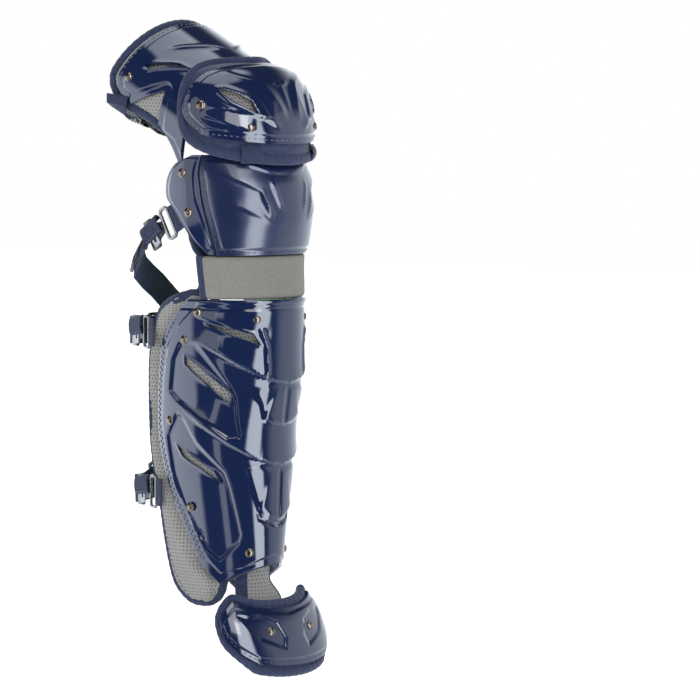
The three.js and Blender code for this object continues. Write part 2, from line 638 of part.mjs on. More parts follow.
const LABEL_HALF_WIDTH = 20;
const LABEL_WALL = 0.8;
const LABEL_LIFT = PANEL_THICK / 2 + GAP;
const LABEL_ROWS = [0.34, 0.48].map((down) => (
  { from: -LABEL_HALF_WIDTH, to: LABEL_HALF_WIDTH, edge: shinHeight(down), bow: 0 }));
add('strap_label', wall(panelPoint, LABEL_ROWS, LABEL_LIFT + LABEL_WALL, LABEL_LIFT, 6, 2), 'white');

// A ring and hook in line from the end of a tab. Returns where the strap begins, and the way it
// leaves the hook.
const HARDWARE_LENGTH = RING_LENGTH + HOOK_LENGTH + 5 * GAP;
function fastening(name, tab, widthDirection) {
  const tabEnd = tab[tab.length - 1];
  const { forward, wide } = bandDirections(tabEnd.clone().sub(tab[tab.length - 2]), widthDirection);
  const at = (distance) => tabEnd.clone().addScaledVector(forward, distance);
  const ring = rectangle(WEB_WIDTH / 2 + RING_WIRE, 0, RING_LENGTH, RING_WIRE);
  ring.holes.push(rectangle(WEB_WIDTH / 2, RING_WIRE, RING_LENGTH - RING_WIRE, 1, new THREE.Path()));
  add(`${name}_ring`, plate(ring, RING_WIRE, at(GAP), forward, wide), 'metal');
  const hook = new THREE.Shape();
  const outline = [[0.2, 0], [0.32, 0.45], [0.56, 0.55], [0.56, 1]];
  for (const [x, y] of outline) hook.lineTo(x * WEB_WIDTH, y * HOOK_LENGTH);
  for (const [x, y] of outline.reverse()) hook.lineTo(-x * WEB_WIDTH, y * HOOK_LENGTH);
  hook.closePath();
  add(`${name}_hook`, plate(hook, HOOK_THICK, at(RING_LENGTH + 2 * GAP), forward, wide), 'plastic');
  return { start: at(HARDWARE_LENGTH), leaving: at(HARDWARE_LENGTH + 5), forward };
}

// A ladder slider that lies on the outer face of a straight stretch of strap
const SLIDER_LIFT = WEB_THICK / 2 + 1.56 * NEST + RING_WIRE / 2;
function slider(name, from, to, widthDirection, side, finish) {
  const frame = rectangle(WEB_WIDTH / 2 + RING_WIRE, 0, SLIDER_LENGTH, 2);
  const slot = SLIDER_LENGTH * 0.3;
  for (const start of [SLIDER_LENGTH * 0.13, SLIDER_LENGTH * 0.57]) {
    frame.holes.push(rectangle(WEB_WIDTH / 2, start, start + slot, 0.8, new THREE.Path()));
  }
  const { forward, flat, wide } = bandDirections(to.clone().sub(from), widthDirection);
  const start = from.clone().lerp(to, 0.5)
    .addScaledVector(forward, -SLIDER_LENGTH / 2)
    .addScaledVector(flat, side * SLIDER_LIFT);
  add(`${name}_slider`, plate(frame, RING_WIRE, start, forward, wide), finish);
}

const vector = (x, y, z) => new THREE.Vector3(x, y, z);
const upright = vector(0, 0, 1);
const TAB_LIFT = 2 * GAP + WEB_THICK / 2;
const PANEL_CLEAR = PANEL_THICK / 2 + WEB_THICK / 2 + 2 * NEST;

// Thigh strap: from a tab on the near side, under the thigh, up on to the far side
const thighAxis = thighPoint(0, 1).sub(thighPoint(0, 0));
const thighPlace = (x, height, up) => thighPoint(0, up, height - THIGH_LIFT - THIGH_RISE).setX(x);
const TAB_X = THIGH_HALF_WIDTH + TAB_LIFT;
const thighTab = (side) => [[0, 20, 93], [0, 12, 90], [-3.5, 7, 88], [-10, 5.5, 87.5]]
  .map(([inwards, height, up]) => thighPlace(side * (TAB_X + inwards), height, up));
add('thigh_tab', webbing(thighTab(-1), thighAxis), 'cloth');
const thigh = fastening('thigh', thighTab(-1), thighAxis);
const THIGH_SLIDER_END = thigh.start.clone().addScaledVector(thigh.forward, SLIDER_LENGTH + 2);
const THIGH_STRAP = [
  thigh.start,
  thigh.leaving,
  THIGH_SLIDER_END,
  thighPlace(28, -3, 87),
  ...thighTab(1).reverse(),
];
add('thigh_strap', webbing(smoothPath(THIGH_STRAP, 18), thighAxis), 'cloth');
slider('thigh', thigh.start, THIGH_SLIDER_END, thighAxis, -1, 'plastic');

// Knee straps: from under the side plates to the far edge of the calf
const UNDER_PLATE = -PLATE_WALL - TAB_LIFT - 3 * GAP;
const kneeTab = (side) => [[78, 0.539], [90, 0.596], [100, 0.652]]
  .map(([angle, down]) => platePoint(side * angle, kneeHeight(down), UNDER_PLATE));
const kneeWide = vector(0, 0.55, 0.83);
add('knee_tab', webbing(kneeTab(-1), kneeWide), 'cloth');
const knee = fastening('knee', kneeTab(-1), kneeWide);
const KNEE_STRAP_WIDE = vector(0.5, 0, 0.86);
const KNEE_SLIDER_END = knee.leaving.clone().add(vector(8, 15, -23));
const KNEE_SLIDER_START = knee.leaving.clone().lerp(KNEE_SLIDER_END, 0.35);
const wingBack = (z) => follow(WING_ROWS, 'down', (-z - SHIN_TOP) / SHIN_LENGTH, 'back');
const wingEdge = (side, z, past) => (
  shinPoint(side * (wingBack(z) + past), z, (PAD_OUTER + PAD_INNER) / 2 + WING_FLARE));
const KNEE_STRAP = [
  knee.start,
  knee.leaving,
  KNEE_SLIDER_START,
  KNEE_SLIDER_END,
  vector(-24, PANEL_BACK + 1, shinHeight(-0.033)),
  panelPoint(4, shinHeight(0.041), PANEL_CLEAR + 2),
  panelPoint(30, shinHeight(0.112), PANEL_CLEAR + 5),
  panelPoint(41, shinHeight(0.139), PANEL_CLEAR + 5),
  wingEdge(1, shinHeight(0.1745), 5),
];
add('knee_strap', webbing(smoothPath(KNEE_STRAP, 18), KNEE_STRAP_WIDE), 'cloth');
slider('knee', KNEE_SLIDER_START, KNEE_SLIDER_END, KNEE_STRAP_WIDE, -1, 'plastic');
const KNEE_STRAP_FAR = [
  ...kneeTab(1),
  vector(58, 16, kneeHeight(0.921)),
  vector(47, 34, kneeHeight(1.236)),
  vector(38, PANEL_BACK - 3, kneeHeight(1.506)),
];
add('knee_strap_far', webbing(smoothPath(KNEE_STRAP_FAR, 14), kneeWide), 'cloth');

// A tab that lies on a wing, just behind the shell's edge
const wingTab = (z) => {
  const start = Math.max(shellReach(z - WEB_WIDTH / 2), shellReach(z + WEB_WIDTH / 2)) + 2;
  return [0, 3, 6].map((past) => {
    const levels = [z - WEB_WIDTH / 2, z, z + WEB_WIDTH / 2];
    const flare = Math.max(...levels.map((level) => wingFlare(-start - past, level)));
    return shinPoint(-start - past, z, PAD_OUTER + flare + TAB_LIFT + 1.5 * NEST);
  });
};

// Upper calf strap: from the near wing round to the calf panel
const CALF_STRAP_Z = shinHeight(0.1235);
add('calf_tab', webbing(wingTab(CALF_STRAP_Z), upright), 'cloth');
const calf = fastening('calf', wingTab(CALF_STRAP_Z), upright);
const CALF_STRAP = [
  calf.start,
  calf.leaving,
  vector(-37, PANEL_BACK + 10, CALF_STRAP_Z),
  panelPoint(-30, CALF_STRAP_Z, PANEL_CLEAR + 3 - NEST),
  panelPoint(-10, CALF_STRAP_Z, PANEL_CLEAR - NEST),
];
add('upper_calf_strap', webbing(smoothPath(CALF_STRAP, 10), upright), 'cloth');
slider('calf', CALF_STRAP[3], CALF_STRAP[4], upright, -1, 'plastic');

// Lower straps: from the near wing to the foot of the panel, and on to the far wing
const LOWER_STRAP_Z = shinHeight(0.692);
add('lower_tab', webbing(wingTab(LOWER_STRAP_Z), upright), 'cloth');
const lower = fastening('lower', wingTab(LOWER_STRAP_Z), upright);
const LOWER_STRAP = [
  lower.start,
  lower.leaving,
  vector(-26, PANEL_BACK + 10, shinHeight(0.68)),
  vector(-20, PANEL_BACK + 7, shinHeight(0.661)),
  panelPoint(-2, shinHeight(0.618), PANEL_CLEAR),
];
add('lower_strap_near', webbing(smoothPath(LOWER_STRAP, 10), upright), 'cloth');
slider('lower', LOWER_STRAP[3], LOWER_STRAP[4], upright, -1, 'metal');
const LOWER_STRAP_FAR = [
  panelPoint(10, shinHeight(0.614), PANEL_CLEAR + 1),
  vector(31, PANEL_BACK - 1, shinHeight(0.653)),
  wingEdge(1, shinHeight(0.684), 11),
];
add('lower_strap_far', webbing(smoothPath(LOWER_STRAP_FAR, 8), upright), 'cloth');

// Domed rivets seated on the shells
function rivet(name, surface, angle, height, step) {
  const place = surface(angle, height, 1.5 * GAP);
  const turn = surface(angle + 1, height, GAP).sub(surface(angle - 1, height, GAP));
  const rise = surface(angle, height + step, GAP).sub(surface(angle, height - step, GAP));
  const outward = turn.cross(rise).normalize();
  if (outward.dot(surface(angle, height, 1).sub(surface(angle, height, 0))) < 0) outward.negate();
  const profile = [[0, 0], [1, 0], [0.75, 0.8], [0, 1]]
    .map(([r, h]) => new THREE.Vector2(r * RIVET_RADIUS, h * RIVET_HEIGHT));
  const geometry = new THREE.LatheGeometry(profile, 7);
  geometry.applyQuaternion(new THREE.Quaternion().setFromUnitVectors(new THREE.Vector3(0, 1, 0), outward));
  geometry.translate(...place.toArray());
  add(name, geometry, 'metal');
}
const SHIN_RIVETS = [[76, 0.045], [31.8, 0.068], [87, 0.143], [103.3, 0.43], [90.6, 0.734], [34.8, 0.89]];
for (const [side, label] of [[-1, 'left'], [1, 'right']]) {
  SHIN_RIVETS.forEach(([angle, down], index) => {
    rivet(`shin_rivet_${label}_${index + 1}`, shinPoint, side * angle, shinHeight(down), 1);
  });
  rivet(`knee_rivet_${label}`, capPoint, side * 66.6, 0.53, 0.01);
}

export default group;
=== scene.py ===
# %% [markdown]
# # A catcher leg guard from its CAD frame
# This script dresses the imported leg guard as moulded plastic, padded cloth, webbing and wire.
# Its one method is used again and again: add a flat grid, wrap it on the surface that the part
# follows, and let modifiers give it a thickness and soft edges.
# The frame comes first. Everything is in metres, front towards -Y, +Z up.

# %%
import math

import bpy
import numpy as np
from mathutils import Matrix, Vector


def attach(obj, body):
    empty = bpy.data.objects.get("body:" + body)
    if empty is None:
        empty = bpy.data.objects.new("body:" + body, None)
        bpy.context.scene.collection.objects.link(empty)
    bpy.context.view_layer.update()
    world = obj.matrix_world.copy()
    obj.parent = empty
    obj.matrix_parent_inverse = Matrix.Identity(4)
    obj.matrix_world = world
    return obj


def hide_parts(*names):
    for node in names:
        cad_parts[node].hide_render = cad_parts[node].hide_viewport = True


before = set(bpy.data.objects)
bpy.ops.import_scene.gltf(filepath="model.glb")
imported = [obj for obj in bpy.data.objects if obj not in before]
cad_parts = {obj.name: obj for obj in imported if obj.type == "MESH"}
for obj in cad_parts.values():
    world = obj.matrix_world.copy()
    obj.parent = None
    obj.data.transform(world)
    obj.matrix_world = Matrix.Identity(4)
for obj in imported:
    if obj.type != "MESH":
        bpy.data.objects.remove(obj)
bpy.ops.object.select_all(action="DESELECT")
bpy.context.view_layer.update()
MM = 0.001
print("frame loaded:", len(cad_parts), "nodes")

# %% [markdown]
# ## The five surfaces
# The real guard is five curved shells. Each is described by a table of sections: how far down
# the piece it is, and its half width and depth there. `follow` draws a smooth curve through a
# column of such a table, so a surface can be asked for a point at any height.

# %%
SHIN_TOP, SHIN_LENGTH, SHIN_HALF_WIDTH, SHIN_DEPTH, SHIN_CENTRE_Y = 126.5, 255, 60, 76.5, -14
KNEE_TOP, KNEE_HEIGHT, KNEE_HALF_WIDTH, KNEE_DEPTH, KNEE_CENTRE_Y = 2, 89, 71.5, 75.3, -18
CAP_TOP, CAP_HEIGHT, CAP_HALF_WIDTH, CAP_DEPTH, CAP_CENTRE_Y = 84, 92, 76, 75.5, -20
THIGH_TILT, THIGH_HALF_WIDTH, THIGH_RISE, THIGH_LIFT, THIGH_LENGTH = 62, 66.6, 61, 29, 110
PIVOT_Y, PIVOT_Z = -18, -7
FOOT_TOP, FOOT_HEIGHT, FOOT_HALF_WIDTH, FOOT_DEPTH = 385, 77, 69, 34
FOOT_CENTRE_Y, FOOT_FORWARD = -50, 21
SHELL_WALL, NEST, PAD_WALL = 2.7, 0.9, 7
PAD_OUTER = -SHELL_WALL - NEST
PAD_INNER = PAD_OUTER - PAD_WALL

SHIN_SECTIONS = [(-0.06, 1, 1), (0.15, 0.983, 0.98), (0.31, 0.958, 0.941), (0.445, 0.925, 0.856),
                 (0.53, 0.892, 0.83), (0.66, 0.817, 0.81), (0.79, 0.733, 0.784), (0.92, 0.658, 0.758),
                 (1.08, 0.61, 0.73)]
KNEE_SECTIONS = [(0, 0.951, 0.797), (0.17, 1, 0.896), (0.29, 1, 0.96), (0.42, 1, 0.98), (0.54, 1, 1),
                 (0.66, 1, 1), (0.79, 0.993, 0.969), (1.03, 0.951, 0.93), (1.4, 0.89, 0.969)]
CAP_SECTIONS = [(0, 0, 0.289, 0.397), (0.06, 0.016, 0.5, 0.477), (0.14, 0.054, 0.684, 0.57),
                (0.24, 0.12, 0.829, 0.662), (0.38, 0.239, 0.934, 0.781), (0.55, 0.435, 0.987, 0.9),
                (0.72, 0.652, 1, 0.98), (0.88, 0.859, 1, 1), (1, 1, 0.993, 0.993)]
FOOT_SECTIONS = [(0, 0.841, 0.706, 0), (0.2, 0.913, 0.824, 0.24), (0.39, 0.971, 0.912, 0.48),
                 (0.71, 1, 1, 0.76), (1, 0.928, 1, 1)]


def follow(rows, at, column):
    """The value of a column at a place between the rows, on a smooth curve through them."""
    keys = np.array([row[0] for row in rows], float)
    values = np.array([row[column] for row in rows], float)
    at = np.clip(np.asarray(at, float), keys[0], keys[-1])
    i = np.clip(np.searchsorted(keys, at, side="left") - 1, 0, len(keys) - 2)
    below = np.maximum(np.arange(len(keys)) - 1, 0)
    above = np.minimum(np.arange(len(keys)) + 1, len(keys) - 1)
    slope = (values[above] - values[below]) / (keys[above] - keys[below])
    span = keys[i + 1] - keys[i]
    s = (at - keys[i]) / span
    start = values[i] * (2 * s**3 - 3 * s**2 + 1) + slope[i] * span * (s**3 - 2 * s**2 + s)
    end = values[i + 1] * (3 * s**2 - 2 * s**3) + slope[i + 1] * span * (s**3 - s**2)
    return start + end


def section_point(half, depth, back, centre_y, angle, z):
    """Angle 0 is the front of a section and 90 its side. The answer is in metres."""
    turn = np.radians(angle)
    reach = np.where(np.abs(angle) > 90, back, depth)
    x = half * np.sin(turn)
    y = centre_y - reach * np.cos(turn)
    return np.stack([x, y, z + 0 * x], axis=-1) * MM


def shin(angle, z, lift=0):
    down = (-z - SHIN_TOP) / SHIN_LENGTH
    half = follow(SHIN_SECTIONS, down, 1) * SHIN_HALF_WIDTH + lift
    depth = follow(SHIN_SECTIONS, down, 2) * SHIN_DEPTH + lift
    return section_point(half, depth, SHIN_DEPTH + lift, SHIN_CENTRE_Y, angle, z)


def knee(angle, z, lift=0):
    down = (KNEE_TOP - z) / KNEE_HEIGHT
    half = follow(KNEE_SECTIONS, down, 1) * KNEE_HALF_WIDTH + lift
    depth = follow(KNEE_SECTIONS, down, 2) * KNEE_DEPTH + lift
    return section_point(half, depth, KNEE_DEPTH * 0.8 + lift, KNEE_CENTRE_Y, angle, z)


def side_plate(angle, z, lift=0):
    points = knee(angle, np.minimum(z, KNEE_TOP - 0.17 * KNEE_HEIGHT), lift)
    points[..., 2] = z * MM
    return points


def cap(angle, run, lift=0):
    z = CAP_TOP - follow(CAP_SECTIONS, run, 1) * CAP_HEIGHT
    half = follow(CAP_SECTIONS, run, 2) * CAP_HALF_WIDTH + lift
    depth = follow(CAP_SECTIONS, run, 3) * CAP_DEPTH + lift
    return section_point(half, depth, CAP_DEPTH * 0.8 + lift, CAP_CENTRE_Y, angle, z)


def thigh(angle, up, lift=0):
    tilt = math.radians(THIGH_TILT)
    turn = np.radians(np.clip(angle, -90, 90))
    height = THIGH_LIFT + (THIGH_RISE + lift) * np.cos(turn) - np.maximum(np.abs(angle) - 90, 0)
    x = (THIGH_HALF_WIDTH + lift) * np.sin(turn)
    y = PIVOT_Y + up * math.sin(tilt) - height * math.cos(tilt)
    z = PIVOT_Z + up * math.cos(tilt) + height * math.sin(tilt)
    return np.stack([x, y, z], axis=-1) * MM


def foot(angle, z, lift=0):
    down = (-z - FOOT_TOP) / FOOT_HEIGHT
    half = follow(FOOT_SECTIONS, down, 1) * FOOT_HALF_WIDTH + lift
    depth = follow(FOOT_SECTIONS, down, 2) * FOOT_DEPTH + lift
    centre_y = FOOT_CENTRE_Y - follow(FOOT_SECTIONS, down, 3) * FOOT_FORWARD
    return section_point(half, depth, depth, centre_y, angle, z)


def shin_height(down):
    return -SHIN_TOP - down * SHIN_LENGTH


def knee_height(down):
    return KNEE_TOP - down * KNEE_HEIGHT


def foot_height(down):
    return -FOOT_TOP - down * FOOT_HEIGHT


print("five surfaces: thigh, cap, knee, shin, foot")

# %% [markdown]
# ## Materials
# Real finishes are never one flat colour. Each look below is a node tree of its own: glossy
# plastic with a faint ripple and rubbed edges, woven cloth, cloth with punched dots, mesh with
# slots, grained leatherette. `texture_group` wraps a pattern as a reusable node group.

# %%
def node_of(tree, kind, settings=None, **inputs):
    """Adds a node, sets its properties, and sets or links its inputs by name, or by number as i0."""
    made = tree.nodes.new(kind)
    for key, value in (settings or {}).items():
        setattr(made, key, value)
    for key, value in inputs.items():
        numbered = key[0] == "i" and key[1:].isdigit()
        socket = made.inputs[int(key[1:]) if numbered else key.replace("_", " ")]
        if isinstance(value, bpy.types.NodeSocket):
            tree.links.new(value, socket)
        else:
            socket.default_value = value
    return made


def arithmetic(tree, operation, first, second=0.0):
    return node_of(tree, "ShaderNodeMath", {"operation": operation}, i0=first, i1=second).outputs[0]


def ramp(tree, value, low, high):
    """0 where the value is under low and 1 where it is over high, with a smooth rise between."""
    settings = {"interpolation_type": "SMOOTHSTEP"}
    return node_of(tree, "ShaderNodeMapRange", settings, i0=value, i1=low, i2=high).outputs[0]


def texture_group(name, sizes, draw):
    """A group with a Vector in, named sizes in, and a Pattern value out. draw fills it."""
    tree = bpy.data.node_groups.new(name, "ShaderNodeTree")
    tree.interface.new_socket("Vector", in_out="INPUT", socket_type="NodeSocketVector")
    for label, value in sizes.items():
        tree.interface.new_socket(label, in_out="INPUT", socket_type="NodeSocketFloat").default_value = value
    tree.interface.new_socket("Pattern", in_out="OUTPUT", socket_type="NodeSocketFloat")
    entry = tree.nodes.new("NodeGroupInput")
    leave = tree.nodes.new("NodeGroupOutput")
    tree.links.new(draw(tree, entry.outputs), leave.inputs["Pattern"])
    return tree


def draw_weave(tree, given):
    """Over and under threads: two sets of ribs, out of step with each other."""
    flat = node_of(tree, "ShaderNodeSeparateXYZ", i0=given["Vector"])
    across = arithmetic(tree, "MULTIPLY", flat.outputs[0], given["Threads"])
    along = arithmetic(tree, "MULTIPLY", flat.outputs[1], given["Threads"])
    first = arithmetic(tree, "SINE", arithmetic(tree, "ADD", across, along))
    second = arithmetic(tree, "SINE", arithmetic(tree, "SUBTRACT", across, along))
    both = arithmetic(tree, "MULTIPLY", first, second)
    return arithmetic(tree, "ADD", arithmetic(tree, "MULTIPLY", both, 0.5), 0.5)


def draw_holes(tree, given):
    """Rows of long holes, every second row half a step along. 1 is cloth and 0 is a hole."""
    flat = node_of(tree, "ShaderNodeSeparateXYZ", i0=given["Vector"])
    row = arithmetic(tree, "DIVIDE", flat.outputs[1], given["Row"])
    odd = arithmetic(tree, "MULTIPLY", arithmetic(tree, "MODULO", arithmetic(tree, "FLOOR", row), 2.0), 0.5)
    column = arithmetic(tree, "ADD", arithmetic(tree, "DIVIDE", flat.outputs[0], given["Column"]), odd)
    squares = []
    for place, pitch, half in ((column, "Column", "Wide"), (row, "Row", "High")):
        from_middle = arithmetic(tree, "SUBTRACT", arithmetic(tree, "FRACT", place), 0.5)
        away = arithmetic(tree, "MULTIPLY", from_middle, given[pitch])
        share = arithmetic(tree, "DIVIDE", away, given[half])
        squares.append(arithmetic(tree, "POWER", share, 2.0))
    return ramp(tree, arithmetic(tree, "ADD", *squares), 0.6, 1.3)


def draw_worn(tree, given):
    """1 where an edge would be rubbed: outward curvature broken up by noise."""
    shape = node_of(tree, "ShaderNodeNewGeometry")
    rim = node_of(tree, "ShaderNodeMapRange", i0=shape.outputs["Pointiness"], i1=0.52, i2=0.6)
    rub = node_of(tree, "ShaderNodeTexNoise", Vector=given["Vector"], Scale=given["Patches"], Detail=4.0)
    broken = node_of(tree, "ShaderNodeMapRange", i0=rub.outputs[0], i1=0.42, i2=0.62)
    return arithmetic(tree, "MULTIPLY", rim.outputs[0], broken.outputs[0])


WEAVE = texture_group("weave", {"Threads": 2600.0}, draw_weave)
HOLES = texture_group("holes", {"Row": 0.004, "Column": 0.004, "Wide": 0.0008, "High": 0.0008}, draw_holes)
WORN = texture_group("worn", {"Patches": 60.0}, draw_worn)


def grouped(tree, group, vector, **sizes):
    made = tree.nodes.new("ShaderNodeGroup")
    made.node_tree = group
    tree.links.new(vector, made.inputs["Vector"])
    for label, value in sizes.items():
        made.inputs[label].default_value = value
    return made.outputs[0]


def blended(tree, share, first, second):
    """A colour between two others. Each may be a colour or a socket."""
    mix = tree.nodes.new("ShaderNodeMix")
    mix.data_type = "RGBA"
    for place, value in ((0, share), (6, first), (7, second)):
        if isinstance(value, bpy.types.NodeSocket):
            tree.links.new(value, mix.inputs[place])
        else:
            mix.inputs[place].default_value = value
    return mix.outputs[2]


def colour(red, green, blue):
    """A screen colour, 0 to 255, as the linear colour that a shader wants."""
    linear = []
    for share in (red / 255, green / 255, blue / 255):
        linear.append(share / 12.92 if share <= 0.04045 else ((share + 0.055) / 1.055) ** 2.4)
    return (*linear, 1.0)


def shaded(base, times):
    """A colour made lighter or darker by a number of times."""
    return (*(share * times for share in base[:3]), 1.0)


def new_look(name):
    look = bpy.data.materials.new(name)
    look.use_nodes = True
    tree = look.node_tree
    shader = tree.nodes["Principled BSDF"]
    place = tree.nodes.new("ShaderNodeTexCoord")
    return look, tree, shader, place


def raise_surface(tree, shader, pattern, strength, distance):
    bump = node_of(tree, "ShaderNodeBump", Strength=strength, Distance=distance, Height=pattern)
    tree.links.new(bump.outputs[0], shader.inputs["Normal"])
    return bump


def plastic(name, base, rubbed, roughness, ripple=0.08):
    """Moulded plastic: a slow ripple in the gloss, a little uneven colour and rubbed edges."""
    look, tree, shader, place = new_look(name)
    where = place.outputs["Object"]
    cloud = node_of(tree, "ShaderNodeTexNoise", Vector=where, Scale=9.0, Detail=3.0)
    uneven = blended(tree, cloud.outputs[0], base, shaded(base, 1.35))
    wear = grouped(tree, WORN, where)
    paler = arithmetic(tree, "MULTIPLY", wear, 0.35)
    tree.links.new(blended(tree, paler, uneven, rubbed), shader.inputs["Base Color"])
    smear = node_of(tree, "ShaderNodeTexNoise", Vector=where, Scale=35.0, Detail=5.0)
    gloss = node_of(tree, "ShaderNodeMapRange", i0=smear.outputs[0], i3=roughness * 0.8, i4=roughness * 1.35)
    duller = arithmetic(tree, "MULTIPLY", wear, 0.15)
    tree.links.new(arithmetic(tree, "ADD", gloss.outputs[0], duller), shader.inputs["Roughness"])
    waves = node_of(tree, "ShaderNodeTexNoise", Vector=where, Scale=55.0, Detail=2.0)
    raise_surface(tree, shader, waves.outputs[0], ripple, 0.001)
    shader.inputs["IOR"].default_value = 1.5
    shader.inputs["Coat Weight"].default_value = 0.35
    shader.inputs["Coat Roughness"].default_value = roughness * 0.5
    return look


def cloth(name, base, light, threads=2600.0, sheen=0.35, coordinates="UV"):
    """Woven cloth: thread colour and height follow the weave, with soft blotches and fuzz."""
    look, tree, shader, place = new_look(name)
    where = place.outputs[coordinates]
    weave = grouped(tree, WEAVE, where, Threads=threads)
    body = place.outputs["Object"]
    noise = node_of(tree, "ShaderNodeTexNoise", Vector=body, Scale=300.0, Detail=6.0, Roughness=0.7)
    blotch = node_of(tree, "ShaderNodeMapRange", i0=noise.outputs[0], i1=0.36, i2=0.66)
    share = arithmetic(tree, "MULTIPLY", arithmetic(tree, "ADD", weave, blotch.outputs[0]), 0.5)
    tree.links.new(blended(tree, share, base, light), shader.inputs["Base Color"])
    fuzz = node_of(tree, "ShaderNodeTexNoise", Vector=body, Scale=900.0, Detail=3.0)
    raise_surface(tree, shader, arithmetic(tree, "ADD", weave, fuzz.outputs[0]), 0.5, 0.0004)
    shader.inputs["Roughness"].default_value = 0.88
    shader.inputs["Sheen Weight"].default_value = sheen
    shader.inputs["Sheen Roughness"].default_value = 0.4
    return look


def holed_cloth(name, base, light, dark, holes, depth=0.0009, coordinates="UV"):
    """Cloth with rows of holes painted darker: painted shade inside each hole, over the colour of the layer
    beneath.
    """
    look, tree, shader, place = new_look(name)
    where = place.outputs[coordinates]
    solid = grouped(tree, HOLES, where, **holes)
    weave = grouped(tree, WEAVE, where, Threads=4200.0)
    blotch = node_of(tree, "ShaderNodeTexNoise", Vector=place.outputs["Object"], Scale=60.0, Detail=4.0)
    share = arithmetic(tree, "MULTIPLY", arithmetic(tree, "ADD", weave, blotch.outputs[0]), 0.5)
    thread = blended(tree, share, base, light)
    # the hole colour is painted shade inside each hole, over the colour of the layer beneath
    tree.links.new(blended(tree, solid, dark, thread), shader.inputs["Base Color"])
    high = arithmetic(tree, "ADD", solid, arithmetic(tree, "MULTIPLY", weave, 0.2))
    raise_surface(tree, shader, high, 0.7, depth)
    shader.inputs["Roughness"].default_value = 0.85
    shader.inputs["Sheen Weight"].default_value = 0.2
    return look


def leatherette(name, base, light):
    look, tree, shader, place = new_look(name)
    where = place.outputs["Object"]
    grain = node_of(tree, "ShaderNodeTexVoronoi", {"feature": "DISTANCE_TO_EDGE"}, Vector=where, Scale=520.0)
    crack = node_of(tree, "ShaderNodeMapRange", i0=grain.outputs[0], i1=0.0, i2=0.25)
    tree.links.new(blended(tree, crack.outputs[0], base, light), shader.inputs["Base Color"])
    raise_surface(tree, shader, crack.outputs[0], 0.45, 0.0004)
    shader.inputs["Roughness"].default_value = 0.42
    return look


def metal(name, base, roughness):
    look, tree, shader, place = new_look(name)
    where = place.outputs["Object"]
    scratch = node_of(tree, "ShaderNodeTexNoise", Vector=where, Scale=240.0, Detail=6.0)
    gloss = node_of(tree, "ShaderNodeMapRange", i0=scratch.outputs[0], i3=roughness * 0.6, i4=roughness * 1.6)
    tree.links.new(gloss.outputs[0], shader.inputs["Roughness"])
    tarnished = blended(tree, scratch.outputs[0], base, shaded(base, 0.7))
    tree.links.new(tarnished, shader.inputs["Base Color"])
    shader.inputs["Metallic"].default_value = 1.0
    raise_surface(tree, shader, scratch.outputs[0], 0.06, 0.0005)
    return look


NAVY, RUBBED_NAVY = colour(13, 27, 60), colour(60, 74, 112)
NAVY_PLASTIC = plastic("navy plastic", NAVY, RUBBED_NAVY, 0.09)
SCUFFED_PLASTIC = plastic("scuffed navy plastic", NAVY, RUBBED_NAVY, 0.25, ripple=0.16)
NAVY_CLOTH = cloth("navy cloth", colour(20, 30, 58), colour(48, 60, 92))
NAVY_BINDING = cloth("navy binding", colour(18, 27, 54), colour(44, 55, 88), threads=3200.0, sheen=0.15)
WEBBING = cloth("navy webbing", colour(17, 26, 52), colour(38, 50, 82), threads=3000.0, sheen=0.12,
                coordinates="Object")
# the third colour of each punched cloth is its hole colour: painted shade inside the holes, over the layer
# beneath
GREY_CLOTH = holed_cloth("grey punched cloth", colour(128, 128, 127), colour(156, 156, 154),
                         colour(100, 100, 99),
                         {"Row": 0.0034, "Column": 0.0034, "Wide": 0.0009, "High": 0.0009})
GREY_BAND = cloth("grey band", colour(112, 111, 108), colour(134, 132, 128), threads=4000.0, sheen=0.1)
GREEN_MESH = holed_cloth("green mesh", colour(128, 226, 122), colour(176, 250, 166), colour(46, 96, 52),
                         {"Row": 0.0085, "Column": 0.0105, "Wide": 0.0028, "High": 0.0011}, depth=0.0016)
BLACK_MESH = holed_cloth("black mesh", colour(14, 14, 16), colour(30, 30, 33), colour(3, 3, 3),
                         {"Row": 0.0036, "Column": 0.0042, "Wide": 0.0013, "High": 0.0010})
BLACK_LEATHER = leatherette("black leatherette", colour(8, 8, 9), colour(26, 26, 28))
YELLOW_FOAM = leatherette("yellow insert", colour(196, 184, 84), colour(236, 226, 124))
BLACK_PLASTIC = plastic("black plastic", colour(12, 12, 13), colour(60, 60, 62), 0.32)
BLACK_PATCH = plastic("black patch", colour(9, 9, 10), colour(40, 40, 42), 0.4)
WHITE_LABEL = cloth("white label", colour(226, 226, 222), colour(246, 246, 244), threads=5200.0, sheen=0.1)
NICKEL = metal("nickel", colour(112, 102, 92), 0.22)
STEEL = metal("steel wire", colour(128, 129, 133), 0.26)
THREAD = cloth("stitching thread", colour(30, 42, 76), colour(62, 74, 104), threads=6000.0,
               coordinates="Object")
PALE_THREAD = cloth("pale thread", colour(88, 96, 120), colour(124, 131, 152), threads=6000.0,
                    coordinates="Object")
print("materials:", len(bpy.data.materials))

# %% [markdown]
# ## Wrapping a grid
# `wrapped` is the method of this whole lesson. Blender adds a flat grid, and each of its points
# is sent to the surface by its place across (s) and down (t), both from 0 to 1. The walk
# along the grid is kept as UV in metres, so weaves and holes keep their real size.

# %%
def active_object():
    return bpy.context.view_layer.objects.active


def choose(*pieces):
    bpy.ops.object.select_all(action="DESELECT")
    for piece in pieces:
        piece.select_set(True)
    bpy.context.view_layer.objects.active = pieces[0]


def apply_modifier(piece, kind, **settings):
    choose(piece)
    bpy.ops.object.modifier_add(type=kind)
    modifier = piece.modifiers[-1]
    for key, value in settings.items():
        setattr(modifier, key, value)
    bpy.ops.object.modifier_apply(modifier=modifier.name)


def rounded_edges(piece, width, segments=2, turn=50, **more):
    """Bevels the edges that turn by more than some degrees. width is in metres."""
    limit = math.radians(turn)
    apply_modifier(piece, "BEVEL", width=width, segments=segments, limit_method="ANGLE", angle_limit=limit,
                   **more)


